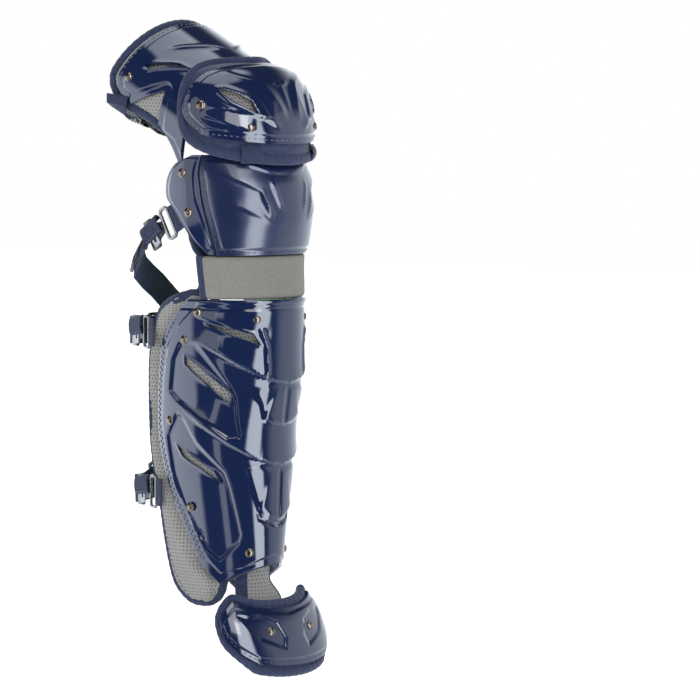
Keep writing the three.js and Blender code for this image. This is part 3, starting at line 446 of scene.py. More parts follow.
def wrapped(name, across, down, place, look):
    """A grid of across by down faces, each point at place(s, t) in metres."""
    bpy.ops.mesh.primitive_grid_add(x_subdivisions=across, y_subdivisions=down, size=2)
    piece = active_object()
    piece.name = name
    mesh = piece.data
    flat = np.empty(len(mesh.vertices) * 3)
    mesh.vertices.foreach_get("co", flat)
    flat = flat.reshape(-1, 3)
    s = (flat[:, 0] + 1) / 2
    t = (1 - flat[:, 1]) / 2
    points = place(s, t)
    mesh.vertices.foreach_set("co", points.ravel())
    column = np.rint(s * across).astype(int)
    row = np.rint(t * down).astype(int)
    table = np.zeros((down + 1, across + 1, 3))
    table[row, column] = points
    walk_across = np.zeros((down + 1, across + 1))
    walk_across[:, 1:] = np.cumsum(np.linalg.norm(np.diff(table, axis=1), axis=2), axis=1)
    walk_across -= walk_across[:, across // 2:across // 2 + 1]
    walk_down = np.zeros((down + 1, across + 1))
    walk_down[1:] = np.cumsum(np.linalg.norm(np.diff(table, axis=0), axis=2), axis=0)
    walk_down = np.repeat(walk_down.mean(axis=1, keepdims=True), across + 1, axis=1)
    corner = np.empty(len(mesh.loops), int)
    mesh.loops.foreach_get("vertex_index", corner)
    uv = np.stack([walk_across[row, column][corner], walk_down[row, column][corner]], axis=1)
    mesh.uv_layers.active.data.foreach_set("uv", uv.ravel())
    mesh.update()
    mesh.materials.clear()
    mesh.materials.append(look)
    bpy.ops.object.shade_smooth()
    return piece


def tidy_normals(piece):
    choose(piece)
    bpy.ops.object.mode_set(mode="EDIT")
    bpy.ops.mesh.select_all(action="SELECT")
    bpy.ops.mesh.remove_doubles(threshold=0.00002)
    bpy.ops.mesh.normals_make_consistent(inside=False)
    bpy.ops.object.mode_set(mode="OBJECT")


def joined(name, pieces):
    """Several pieces as one object with their looks kept."""
    choose(*pieces)
    if len(pieces) > 1:
        bpy.ops.object.join()
    piece = active_object()
    piece.name = name
    return piece


def settle(piece, slot_name, *nodes):
    """Rides on the root and stands for CAD nodes where it is given any. slot_name is not used."""
    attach(piece, "root")
    if nodes:
        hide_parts(*nodes)
    return piece


def rows_at(rows, s, t):
    """Angle and height on a table of rows (from, to, edge, bow), as the CAD lays its walls."""
    listed = [(index, *row) for index, row in enumerate(rows)]
    place = t * (len(rows) - 1)
    first, last, edge, bow = (follow(listed, place, column) for column in (1, 2, 3, 4))
    return first + (last - first) * s, edge + bow * (1 - (2 * s - 1) ** 2)


def even(rows):
    return [(-reach, reach, edge, bow) for reach, edge, bow in rows]


print("grid tools ready")

# %% [markdown]
# ## Moulded relief
# The shells get their character from steps, creases and sunken panels. Each is a line or a ring
# drawn on the flattened surface in millimetres. `nearest` finds how far each point is from a
# line, how far along it the foot lies, and on which side. The rest shape that distance:
# a ridge is a bump on the line, a step is a cliff that fades behind it, and a basin sinks
# the inside of a ring with a slope all round. All are drawn on the near half and mirrored.

# %%
def smooth(x):
    x = np.clip(x, 0, 1)
    return x * x * (3 - 2 * x)


def nearest(x, y, line):
    """Distance to a line, share of the way along its foot, and side (+1 to its left)."""
    line = np.array(line, float)
    lengths = np.linalg.norm(np.diff(line, axis=0), axis=1)
    total = lengths.sum()
    best = np.full(x.shape, 1e9)
    along = np.zeros(x.shape)
    side = np.ones(x.shape)
    walked = 0.0
    for (ax, ay), (bx, by), length in zip(line[:-1], line[1:], lengths):
        ux, uy = (bx - ax) / length, (by - ay) / length
        foot_at = np.clip((x - ax) * ux + (y - ay) * uy, 0, length)
        dx, dy = x - (ax + ux * foot_at), y - (ay + uy * foot_at)
        distance = np.hypot(dx, dy)
        closer = distance < best
        best = np.where(closer, distance, best)
        along = np.where(closer, (walked + foot_at) / total, along)
        side = np.where(closer, np.sign(ux * (y - ay) - uy * (x - ax)), side)
        walked += length
    return best, along, side


def inside(x, y, ring):
    """Distance to the border of a ring, above 0 inside it and below 0 outside."""
    ring = [*ring, ring[0]]
    distance, _, _ = nearest(x, y, ring)
    odd = np.zeros(x.shape, bool)
    for (ax, ay), (bx, by) in zip(ring[:-1], ring[1:]):
        if ay == by:
            continue
        crosses = (ay > y) != (by > y)
        odd ^= crosses & (x < (bx - ax) * (y - ay) / (by - ay) + ax)
    return np.where(odd, distance, -distance)


def ridge(x, y, line, height, width, ends=0.12):
    distance, along, _ = nearest(x, y, line)
    taper = smooth(along / ends) * smooth((1 - along) / ends)
    return height * taper * np.exp(-((distance / width) ** 2))


def step(x, y, line, height, reach, sharp=2.5, ends=0.15, side=1, open_end=False):
    """A cliff on one side of a line that fades back into the surface over reach."""
    distance, along, which = nearest(x, y, line)
    behind = np.where(which == side, distance, 0)
    taper = smooth(along / ends) * (1 if open_end else smooth((1 - along) / ends))
    return height * taper * smooth(behind / sharp) * np.exp(-behind / reach)


def basin(x, y, ring, depth, slope):
    return -depth * smooth(inside(x, y, ring) / slope)


def scaled(points, wide, high=1.0):
    """Points given as angle and height, turned into millimetres on the flattened surface."""
    return [(angle * wide, height * high) for angle, height in points]


print("relief tools ready")

# %% [markdown]
# ## The shin shell
# One long shell: a rolled lip at the top, a flange with stitching down each side, two swept
# steps that meet in a V at the front, two sunken side panels with vents and a centre column.

# %%
SHIN_WIDE = 1.12
SHIN_REACHES = [(0, 83), (0.07, 98), (0.15, 110), (0.29, 117), (0.44, 121), (0.55, 118), (0.68, 110),
                (0.82, 97), (0.93, 86), (1, 67)]
SHIN_BOWS = [0] * 7 + [2, 9, 17]
SHIN_ROWS = even([(reach, shin_height(down), bow) for (down, reach), bow in zip(SHIN_REACHES, SHIN_BOWS)])
SHIN_VENTS = [
    [(-69.1, 0.083), (-52, 0.1), (-34.5, 0.118), (-28.5, 0.158), (-42, 0.136), (-56.3, 0.113)],
    [(-88, 0.196), (-69, 0.262), (-50.5, 0.328), (-49.5, 0.366), (-69, 0.297), (-88.1, 0.227)],
    [(-99, 0.512), (-82, 0.559), (-64.5, 0.607), (-60.5, 0.635), (-77, 0.595), (-94, 0.555)],
]
SHIN_BORDER = [(-83, -126.5), (-98, -144.4), (-110, -164.8), (-117, -200.5), (-121, -238.7),
               (-118, -266.8), (-110, -299.9), (-97, -335.6), (-86, -363.7), (-67, -381.5), (-40, -375),
               (-20, -368), (0, -364.5)]
UPPER_SWEEP = [(-80, -163), (-62.3, -174.6), (-46.2, -186.1), (-22.5, -198.6), (0, -203)]
LOWER_SWEEP = [(-98.6, -222.4), (-82.9, -233.3), (-50.8, -257), (-35, -266.1), (-25.4, -271.2), (-7.3, -275),
               (0, -276)]
TOP_SWEEP = [(-80, -140), (-73.7, -144.2), (-34.1, -158.1), (-24, -163)]
KEYSTONE = [(-29, -150), (-23.5, -168), (-22.7, -196.3)]
UPPER_COLUMN = [(-37, -206), (-27.7, -220.8), (-24.7, -232.7), (-13.4, -238), (0, -240), (0, -203),
                (-22, -201)]
UPPER_SCOOP = [(-24.7, -232.7), (-13.4, -238), (0, -240)]
LOWER_COLUMN = [(-40.7, -274.2), (-26.8, -315.2), (-13, -322.5), (0, -325), (0, -278), (-24, -273)]
LOWER_SCOOP = [(-27.5, -315.2), (-13, -322.5), (0, -325)]
SCOOP_MOUTH = [(-27.5, -316.5), (-13, -323.5), (0, -326), (0, -332), (-10, -331), (-26, -325)]
UPPER_PANEL = [(-92, -163), (-77, -164.2), (-49.7, -204.2), (-45.5, -212), (-40.7, -240.6), (-38, -250),
               (-52, -252), (-82, -229), (-96, -219), (-104, -210), (-100, -180)]
LOWER_PANEL = [(-97, -226), (-89.6, -231.8), (-78, -253.9), (-53.5, -279.7), (-49.5, -293.3),
               (-43.4, -324.2), (-40.8, -337.8), (-44.2, -346), (-65, -363), (-80, -352), (-97, -318),
               (-106, -285), (-109, -250)]
SIDE_WEDGE = [(-92, -322), (-83, -333), (-85, -340), (-80, -345), (-79, -336)]
LIP, GROOVE = -SHIN_TOP - 2.1, -SHIN_TOP - 8.1


def shin_relief(s, t, angle, height):
    """Height of the outer face over the CAD surface, in millimetres."""
    x = -np.abs(angle) * SHIN_WIDE
    y = height

    def flat(points):
        return scaled(points, SHIN_WIDE)

    from_border, _, _ = nearest(x, y, flat(SHIN_BORDER))
    relief = 1.5 * smooth((from_border - 7.5) / 2.2)
    relief += 1.3 * np.exp(-(((y - LIP) / 2.0) ** 2)) - 0.9 * np.exp(-(((y - GROOVE) / 1.3) ** 2))
    relief += step(x, y, flat(UPPER_SWEEP), 3.6, 18, ends=0.3, open_end=True)
    relief += step(x, y, flat(LOWER_SWEEP), 3.8, 20, ends=0.3, open_end=True)
    relief += step(x, y, flat(TOP_SWEEP), 1.6, 8)
    relief += ridge(x, y, flat(KEYSTONE), 1.5, 2.0)
    relief -= basin(x, y, flat(UPPER_COLUMN), 1.5, 5.5)
    relief += step(x, y, flat(UPPER_SCOOP), 2.2, 12, sharp=2.2, open_end=True)
    relief -= basin(x, y, flat(LOWER_COLUMN), 1.5, 5.5)
    relief += step(x, y, flat(LOWER_SCOOP), 1.8, 12, sharp=2.2, open_end=True)
    relief += basin(x, y, flat(SCOOP_MOUTH), 2.6, 3.6)
    relief += basin(x, y, flat(UPPER_PANEL), 2.3, 4.2)
    relief += basin(x, y, flat(LOWER_PANEL), 2.3, 4.2)
    relief += basin(x, y, flat(SIDE_WEDGE), 0.8, 1.2)
    for vent in SHIN_VENTS:
        ring = flat([(angle_at, shin_height(down)) for angle_at, down in vent])
        relief += 0.8 * np.exp(-((inside(x, y, ring) / 1.6) ** 2))
    return relief


EDGE_ROUND = 0.0006
VENT_CUT = 9.0


def moulded_shell(name, surface, rows, relief, across, down, vents=(), thick=SHELL_WALL, look=NAVY_PLASTIC):
    """A shell with relief outside, a smooth inside, rounded edges and its vents cut through."""
    def outer(s, t):
        angle, height = rows_at(rows, s, t)
        return surface(angle, height, relief(s, t, angle, height))

    def inner(s, t):
        angle, height = rows_at(rows, s, t)
        return surface(angle, height, -thick)

    faces = [wrapped(name, across, down, outer, look), wrapped(name, across, down, inner, look)]
    piece = joined(name, faces)
    bpy.ops.object.mode_set(mode="EDIT")
    bpy.ops.mesh.select_all(action="DESELECT")
    bpy.ops.mesh.select_non_manifold(extend=False, use_wire=False, use_multi_face=False,
                                     use_non_contiguous=False, use_verts=False)
    bpy.ops.mesh.bridge_edge_loops()
    bpy.ops.mesh.select_all(action="SELECT")
    bpy.ops.mesh.normals_make_consistent(inside=False)
    bpy.ops.object.mode_set(mode="OBJECT")
    cutters = []
    for vent in vents:
        for side in (-1, 1):
            ring = [(-side * abs(angle), height) for angle, height in vent]
            cutters.append(vent_block(surface, ring))
    if cutters:
        cutter = joined("vent_cutter", cutters)
        apply_modifier(piece, "BOOLEAN", operation="DIFFERENCE", object=cutter, solver="EXACT")
        choose(cutter)
        bpy.ops.object.delete()
    rounded_edges(piece, EDGE_ROUND, use_clamp_overlap=True)
    choose(piece)
    bpy.ops.object.shade_smooth_by_angle(angle=math.radians(35))
    return piece


def vent_block(surface, ring):
    """A block through the shell: a cylinder with one side for each corner of the vent.

    VENT_CUT is how far it stands out of the shell on both sides, in mm."""
    count = len(ring)
    bpy.ops.mesh.primitive_cylinder_add(vertices=count, radius=1, depth=2)
    block = active_object()
    turns = 2 * math.pi / count
    for vertex in block.data.vertices:
        corner = round(math.atan2(vertex.co.x, vertex.co.y) / turns) % count
        angle, height = ring[corner]
        lift = VENT_CUT if vertex.co.z > 0 else -VENT_CUT
        vertex.co = Vector(surface(np.array(angle), np.array(height), lift))
    bpy.ops.object.mode_set(mode="EDIT")
    bpy.ops.mesh.select_all(action="SELECT")
    bpy.ops.mesh.normals_make_consistent(inside=False)
    bpy.ops.object.mode_set(mode="OBJECT")
    return block


vents = [[(angle, shin_height(down)) for angle, down in vent] for vent in SHIN_VENTS]
shin_shell = moulded_shell("shin_shell_moulded", shin, SHIN_ROWS, shin_relief, 220, 200, vents)
settle(shin_shell, "shell", "shin_shell")
print("shin shell:", len(shin_shell.data.polygons), "faces")

# %% [markdown]
# ## The knee shells
# The upper cap is a dome with a sunken centre, a vent in a raised frame each side, and creases
# below them. The lower cup has soft creases that run to the middle, and its plastic is rougher,
# as it is scuffed in the photograph. The side plates carry rivets.

# %%
CAP_WIDE, CAP_LONG = 1.2, 115
CAP_ROWS = even([(54, 0.14, -0.1), (66, 0.22, -0.06), (74, 0.34, 0), (82, 0.5, 0), (80, 0.63, 0.03),
                 (68, 0.755, 0.07)])
CAP_VENT = [(-52.5, 0.376), (-50.7, 0.435), (-43.9, 0.492), (-33.5, 0.573), (-26.6, 0.604), (-29.6, 0.495),
            (-37.6, 0.437)]
CAP_BORDER = [(0, 0.04), (-30, 0.075), (-54, 0.14), (-66, 0.22), (-74, 0.34), (-82, 0.5), (-80, 0.63),
              (-68, 0.755), (-45, 0.79), (-20, 0.82), (0, 0.825)]
CAP_RIDGE = [(-50.6, 0.181), (-18.2, 0.315), (-14.3, 0.359), (-9.7, 0.455), (-6.2, 0.565), (-5, 0.686)]
CAP_FRAME = [(-47, 0.35), (-24.8, 0.445), (-16.5, 0.636), (-24, 0.65), (-30, 0.62), (-47, 0.53),
             (-55, 0.44), (-55, 0.365)]
CAP_CREASES = [
    [(-64, 0.56), (-45.3, 0.583), (-24.9, 0.633), (-12, 0.735)],
    [(-67, 0.615), (-44.3, 0.71), (-30, 0.74)],
]
CAP_FOLDS = [[(-17, 0.40), (-14, 0.495), (-16.5, 0.655), (-7.7, 0.754)], [(-9, 0.33), (0, 0.37)]]
CAP_CENTRE = [(0, 0.30), (-12, 0.345), (-8, 0.455), (-4.5, 0.565), (0, 0.68)]


def cap_relief(s, t, angle, height):
    x = -np.abs(angle) * CAP_WIDE
    y = -height * CAP_LONG

    def flat(points):
        return scaled(points, CAP_WIDE, -CAP_LONG)

    from_border, _, _ = nearest(x, y, flat(CAP_BORDER))
    relief = 1.7 * smooth((from_border - 5.5) / 2.4)
    relief += step(x, y, flat(CAP_RIDGE), 2.2, 9, side=-1)
    relief += ridge(x, y, flat(CAP_RIDGE), 0.8, 1.8)
    relief -= basin(x, y, flat(CAP_FRAME), 1.7, 2.6)
    for crease in CAP_CREASES:
        relief += step(x, y, flat(crease), 2.0, 8)
    for fold in CAP_FOLDS:
        relief += ridge(x, y, flat(fold), 0.7, 2.4, ends=0.3)
    relief += basin(x, y, flat(CAP_CENTRE), 0.7, 4.0)
    return relief


cap_shell = moulded_shell("upper_knee_shell_moulded", cap, CAP_ROWS, cap_relief, 130, 84, [CAP_VENT])
settle(cap_shell, "shell", "upper_knee_shell")

KNEE_WIDE = 1.27
KNEE_EDGE = [(66, 0), (68.5, 0.15), (68.5, 0.34), (66, 0.57), (61, 0.8), (57, 1)]
KNEE_ROWS = even([(reach, knee_height(down), 0) for reach, down in KNEE_EDGE])
KNEE_BORDER = [(0, 2), (-66, 2), (-68.5, -11.4), (-68.5, -28.3), (-66, -48.7), (-61, -69.2), (-57, -87),
               (0, -87)]
KNEE_CREASES = [
    ([(-56, -15), (-40, -23.5), (-27.7, -31.5), (-18.5, -57)], 2.0),
    ([(-55, -44.6), (-42.4, -46.4), (-30.9, -53), (-17, -61)], 1.6),
    ([(-37, -6), (-17.7, -14.9), (0, -17)], 1.4),
]
KNEE_FOLDS = [[(-18.5, -17), (-10.4, -51)], [(-27, -30), (-18.5, -57)]]


def knee_relief(s, t, angle, height):
    x = -np.abs(angle) * KNEE_WIDE
    y = height

    def flat(points):
        return scaled(points, KNEE_WIDE)

    from_border, _, _ = nearest(x, y, flat(KNEE_BORDER))
    relief = 1.6 * smooth((from_border - 4.5) / 2.4)
    relief += 1.6 * np.exp(-((x / 20) ** 2)) * np.sin(np.pi * t)
    for crease, height_of in KNEE_CREASES:
        relief += step(x, y, flat(crease), height_of, 9, ends=0.3)
    for fold in KNEE_FOLDS:
        relief += ridge(x, y, flat(fold), 1.3, 2.2, ends=0.35)
    return relief


knee_shell = moulded_shell("lower_knee_shell_moulded", knee, KNEE_ROWS, knee_relief, 130, 90,
                           look=SCUFFED_PLASTIC)
settle(knee_shell, "shell", "lower_knee_shell")

PLATE_WALL, PLATE_CLEARANCE = 3.6, 1.6
PLATE_BACKS = [(0, 75), (0.1, 92), (0.26, 102), (0.42, 102.5), (0.55, 92), (0.72, 83), (0.87, 74.5),
               (0.99, 64)]
KNEE_REACHES = [(down, reach) for reach, down in KNEE_EDGE]


def plate_relief(s, t, angle, height):
    rim = np.minimum(np.minimum(s, 1 - s) * 30, np.minimum(t, 1 - t) * 85)
    return 0.9 * smooth((rim - 3) / 2.5) - 0.9


for side, label in ((-1, "left"), (1, "right")):
    rows = []
    for down, back in PLATE_BACKS:
        front = float(follow(KNEE_REACHES, down, 1)) + PLATE_CLEARANCE
        rows.append((side * front, side * back, knee_height(down), 0))
    plate = moulded_shell(f"knee_side_plate_{label}_moulded", side_plate, rows, plate_relief, 36, 60,
                          thick=PLATE_WALL)
    settle(plate, "shell", f"knee_side_plate_{label}")
print("knee shells done")

# %% [markdown]
# ## The thigh arch and the foot flap
# The thigh shell leans back, is cut away at its sides over grey cloth, and has one long vent
# each side. The foot shell is a small apron with an almond panel at each side of the middle.

# %%
THIGH_WIDE = 1.12
THIGH_ROWS = even([(84, THIGH_LENGTH - 8, -4), (95, THIGH_LENGTH * 0.85, -2), (99, THIGH_LENGTH * 0.69, 0),
                   (99, THIGH_LENGTH * 0.5, 0), (99, THIGH_LENGTH * 0.35, 2), (108, THIGH_LENGTH * 0.15, 12),
                   (121, -THIGH_LENGTH * 0.03, 24)])
THIGH_NOTCH = [(-106, 82.5), (-71, 47.3), (-106, 36.3)]
THIGH_VENT = [(angle, share * THIGH_LENGTH) for angle, share in
              [(-64.5, 0.736), (-56, 0.645), (-47, 0.5), (-45, 0.39), (-51, 0.51), (-65, 0.68)]]
THIGH_BORDER = [(0, 98), (-60, 101), (-84, 102), (-95, 93.5), (-99, 76), (-71, 47.3), (-106, 36.3),
                (-108, 16.5), (-121, -3)]
THIGH_RIDGES = [[(-47, 80), (-25.7, 61), (-2.1, 43.5)]]
THIGH_SWEEP = [(-72, 90), (-58, 60), (-44, 36), (-40, 24)]


def thigh_relief(s, t, angle, height):
    x = -np.abs(angle) * THIGH_WIDE
    y = height

    def flat(points):
        return scaled(points, THIGH_WIDE)

    from_border, _, _ = nearest(x, y, flat(THIGH_BORDER))
    relief = 1.5 * smooth((from_border - 6) / 2.4)
    for line in THIGH_RIDGES:
        relief += ridge(x, y, flat(line), 2.0, 2.4, ends=0.4)
    relief += step(x, y, flat(THIGH_SWEEP), 1.4, 12, side=1, ends=0.3)
    relief += 0.9 * np.exp(-((inside(x, y, flat(THIGH_VENT)) / 1.8) ** 2))
    return relief


thigh_shell = moulded_shell("thigh_shell_moulded", thigh, THIGH_ROWS, thigh_relief, 150, 100,
                            [THIGH_NOTCH, THIGH_VENT])
settle(thigh_shell, "shell", "thigh_shell")

FOOT_ROWS = even([(58, foot_height(0.115), -9), (70, foot_height(0.22), -6), (80, foot_height(0.36), -4),
                  (76, foot_height(0.51), -4), (60, foot_height(0.68), -4), (42, foot_height(0.82), -4)])
FOOT_BORDER = [(0, -402.8), (-30, -398.5), (-58, -393.8), (-70, -401.9), (-80, -412.6), (-76, -424),
               (-60, -437.4), (-42, -448), (-20, -451), (0, -452)]
FOOT_ALMOND = [(-56, -405), (-30, -405.5), (-14, -412), (-8, -427), (-12, -440), (-36, -429)]


def foot_relief(s, t, angle, height):
    x = -np.abs(angle)
    y = height
    from_border, _, _ = nearest(x, y, FOOT_BORDER)
    relief = 1.5 * smooth((from_border - 4.5) / 2.2)
    relief += basin(x, y, FOOT_ALMOND, 1.5, 4.5)
    return relief


foot_shell = moulded_shell("foot_shell_moulded", foot, FOOT_ROWS, foot_relief, 150, 80)
settle(foot_shell, "shell", "foot_shell")
print("thigh and foot shells done")

# %% [markdown]
# ## Pads and their rolled bindings
# A pad is two wrapped grids that meet at its border, thick in the middle and round at the edge.
# The columns of the grid crowd towards the border, where the roundness is. The outer face and
# the inner face have their own cloth. The binding is a tube swept round the same border,
# drawn in a little at each stitch. A wing's binding stops where the shin shell covers it, and
# a thin grey tape lies over the seam between the wing and the shin pad. The same thin cloth
# lies behind the vents of the cap.

# %%
def crowded(u):
    return 0.5 - 0.5 * np.cos(np.pi * u)


def pad_rows_at(rows, s, t):
    """As rows_at, for rows that may also carry the angle of a fold at half way across."""
    if len(rows[0]) == 4:
        return rows_at(rows, s, t)
    listed = [(index, *row) for index, row in enumerate(rows)]
    place = t * (len(rows) - 1)
    first, last, edge, bow, fold = (follow(listed, place, column) for column in (1, 2, 3, 4, 5))
    angle = np.where(s <= 0.5, first + (fold - first) * s * 2, fold + (last - fold) * (2 * s - 1))
    return angle, edge + bow * (1 - (2 * s - 1) ** 2)


def pad(name, surface, rows, outer, inner, looks, across=70, down=60, size=(150, 150), flare=None, puff=0.6):
    """outer and inner are the pad's faces, in mm over the surface; size is about how wide and tall it is."""
    middle = (outer + inner) / 2
    half = (outer - inner) / 2

    def face(direction):
        def place(u, v):
            s, t = crowded(u), crowded(v)
            angle, height = pad_rows_at(rows, s, t)
            wide = np.minimum(s, 1 - s) * size[0] / half
            tall = np.minimum(t, 1 - t) * size[1] / half
            round_off = np.sqrt(np.clip(1 - (1 - np.clip(wide, 0, 1)) ** 2, 0, 1))
            round_off = round_off * np.sqrt(np.clip(1 - (1 - np.clip(tall, 0, 1)) ** 2, 0, 1))
            swell = puff * (np.sin(angle * 0.21 + height * 0.05) * np.sin(height * 0.11 + 1.3) - 0.6)
            lift = middle + direction * round_off * (half + np.minimum(swell, 0) * (direction < 0))
            if flare is not None:
                lift = lift + flare(angle, height)
            return surface(angle, height, lift)
        return place

    faces = [wrapped(name, across, down, face(1), looks[0]), wrapped(name, across, down, face(-1), looks[1])]
    piece = joined(name, faces)
    tidy_normals(piece)
    return piece


def border_of(surface, rows, lift, flare=None, inset=0.0, parts=(0, 1, 2, 3), count=400):
    """Points and outward directions along the border of a table of rows, evenly spaced."""
    run = np.linspace(0, 1, 160)
    low, high = inset, 1 - inset
    span = low + (high - low) * run
    level = np.full(160, low)
    far = np.full(160, high)
    sides = [(span, level), (far, span), (span[::-1], far), (level, span[::-1])]
    s = np.concatenate([sides[part][0] for part in parts])
    t = np.concatenate([sides[part][1] for part in parts])
    angle, height = pad_rows_at(rows, s, t)
    over = lift + (flare(angle, height) if flare is not None else 0)
    points = surface(angle, height, over)
    out = surface(angle, height, over + 1) - points
    keep = np.concatenate([[True], np.linalg.norm(np.diff(points, axis=0), axis=1) > 1e-6])
    return evenly(points[keep], out[keep], count, len(parts) == 4)


def walk_of(points):
    """How far along a path each of its points lies, in metres."""
    return np.concatenate([[0], np.cumsum(np.linalg.norm(np.diff(points, axis=0), axis=1))])


def looked_up(at, walked, table):
    """The points or directions of a table at other places along its walk."""
    return np.stack([np.interp(at, walked, table[:, k]) for k in range(3)], axis=1)


def evenly(points, out, count, closed):
    if closed:
        points = np.vstack([points, points[:1]])
        out = np.vstack([out, out[:1]])
    walked = walk_of(points)
    at = np.linspace(0, walked[-1], count)
    points = looked_up(at, walked, points)
    out = looked_up(at, walked, out)
    for _ in range(6):
        if closed:
            loop = points[:-1]
            loop = (np.roll(loop, 1, axis=0) + loop * 2 + np.roll(loop, -1, axis=0)) / 4
            points = np.vstack([loop, loop[:1]])
        else:
            points[1:-1] = (points[:-2] + points[1:-1] * 2 + points[2:]) / 4
    out /= np.linalg.norm(out, axis=1, keepdims=True)
    return points, out


PINCH_PITCH = 0.0075


def tube(name, points, out, wide, high, look, closed=True, pinch=0.0, around=14):
    """An oval tube along points. wide lies along the surface and high stands out of it, in mm."""
    down = len(points) - 1
    ahead = np.gradient(points, axis=0)
    if closed:
        ahead[0] = ahead[-1] = points[1] - points[-2]
    ahead /= np.linalg.norm(ahead, axis=1, keepdims=True)
    across = np.cross(ahead, out)
    across /= np.linalg.norm(across, axis=1, keepdims=True)
    walked = walk_of(points)
    share = walked / walked[-1]

    def place(s, t):
        turn = 2 * np.pi * s
        size = 1 - pinch * (0.5 + 0.5 * np.cos(t * walked[-1] / PINCH_PITCH * 2 * np.pi))
        reach = np.cos(turn) * wide * MM * size
        rise = np.sin(turn) * high * MM * size
        middle, side, over = (looked_up(t, share, table) for table in (points, across, out))
        return middle + side * reach[:, None] + over * rise[:, None]

    piece = wrapped(name, around, down, place, look)
    tidy_normals(piece)
    bpy.ops.object.mode_set(mode="EDIT")
    bpy.ops.mesh.select_all(action="SELECT")
    bpy.ops.mesh.fill_holes(sides=around + 2)
    bpy.ops.object.mode_set(mode="OBJECT")
    return piece


def stitches(name, points, out, look=None, long=3.0, gap=2.2, thick=0.42):
    """A row of small rounded stitches along a path, all copies of one squashed ball."""
    walked = walk_of(points)
    count = max(2, int(walked[-1] / MM / (long + gap)))
    at = (np.arange(count) + 0.5) * walked[-1] / count
    middle, normal = looked_up(at, walked, points), looked_up(at, walked, out)
    ahead = looked_up(at + 0.5 * MM, walked, points) - middle
    ahead /= np.maximum(np.linalg.norm(ahead, axis=1, keepdims=True), 1e-9)
    across = np.cross(ahead, normal)
    across /= np.maximum(np.linalg.norm(across, axis=1, keepdims=True), 1e-9)
    bpy.ops.mesh.primitive_uv_sphere_add(segments=6, ring_count=4, radius=1)
    ball = active_object()
    corners = np.array([vertex.co[:] for vertex in ball.data.vertices])
    faces = [list(face.vertices) for face in ball.data.polygons]
    spread = (middle[:, None] + ahead[:, None] * (corners[None, :, :1] * long / 2 * MM)
              + across[:, None] * (corners[None, :, 1:2] * thick * MM)
              + normal[:, None] * (corners[None, :, 2:3] * thick * MM))
    every = [[index + k * len(corners) for index in face] for k in range(count) for face in faces]
    bpy.ops.object.delete()
    mesh = bpy.data.meshes.new(name)
    mesh.from_pydata(spread.reshape(-1, 3).tolist(), [], every)
    mesh.materials.append(look or THREAD)
    piece = bpy.data.objects.new(name, mesh)
    bpy.context.scene.collection.objects.link(piece)
    choose(piece)
    bpy.ops.object.shade_smooth()
    return piece


MIDDLE = (PAD_OUTER + PAD_INNER) / 2
SHIN_PAD_ROWS = even([(62, shin_height(down), 16 * down**6) for down in (0.01, 0.25, 0.5, 0.75, 0.995)])
shin_pad = pad("shin_pad_padded", shin, SHIN_PAD_ROWS, PAD_OUTER, PAD_INNER, (GREY_CLOTH, GREEN_MESH),
               size=(140, 255))
settle(shin_pad, "green_mesh", "shin_pad")

points, out = border_of(shin, SHIN_PAD_ROWS, MIDDLE, inset=0.01, parts=(2,), count=120)
shin_pad_edge = tube("shin_pad_lower_binding", points, out, 4.6, 3.9, NAVY_BINDING, closed=False, pinch=0.06)
settle(shin_pad_edge, "navy_fabric")

THIN_CLOTH = 0.0005
for side, label in ((-1, "left"), (1, "right")):
    def along_seam(s, t):
        return shin(side * (59 + 9 * s), shin_height(0.09 + 0.8 * t), PAD_OUTER + 0.4)

    tape = wrapped(f"shin_seam_tape_{label}", 8, 60, along_seam, GREY_CLOTH)
    apply_modifier(tape, "SOLIDIFY", thickness=THIN_CLOTH, offset=0)
    settle(tape, "grey_fabric")

MESH_OUTER = PAD_INNER - NEST
MESH_ROWS = even([(46, shin_height(down), 0) for down in (0.04, 0.3, 0.6, 0.84)])
mesh_pad = pad("shin_mesh_pad_padded", shin, MESH_ROWS, MESH_OUTER, MESH_OUTER - PAD_WALL,
               (BLACK_MESH, GREEN_MESH), size=(90, 200))
settle(mesh_pad, "green_mesh", "shin_mesh_pad")

WING_ROWS = [(76, 84, -0.02), (69, 100, 0.012), (64, 111, 0.05), (64, 120, 0.12), (64, 128, 0.22),
             (64, 132, 0.36), (64, 133, 0.5), (64, 130, 0.6), (64, 124, 0.7), (64, 121, 0.84),
             (64, 117, 0.94), (65, 111, 1.01), (72, 100, 1.055), (80, 92, 1.07)]
FLARE, FLARE_START, FLARE_END = 6.5, 3, 11


def wing_flare(angle, z):
    past = np.abs(angle) - follow(SHIN_REACHES, (-z - SHIN_TOP) / SHIN_LENGTH, 1)
    return FLARE * smooth((past - FLARE_START) / (FLARE_END - FLARE_START))


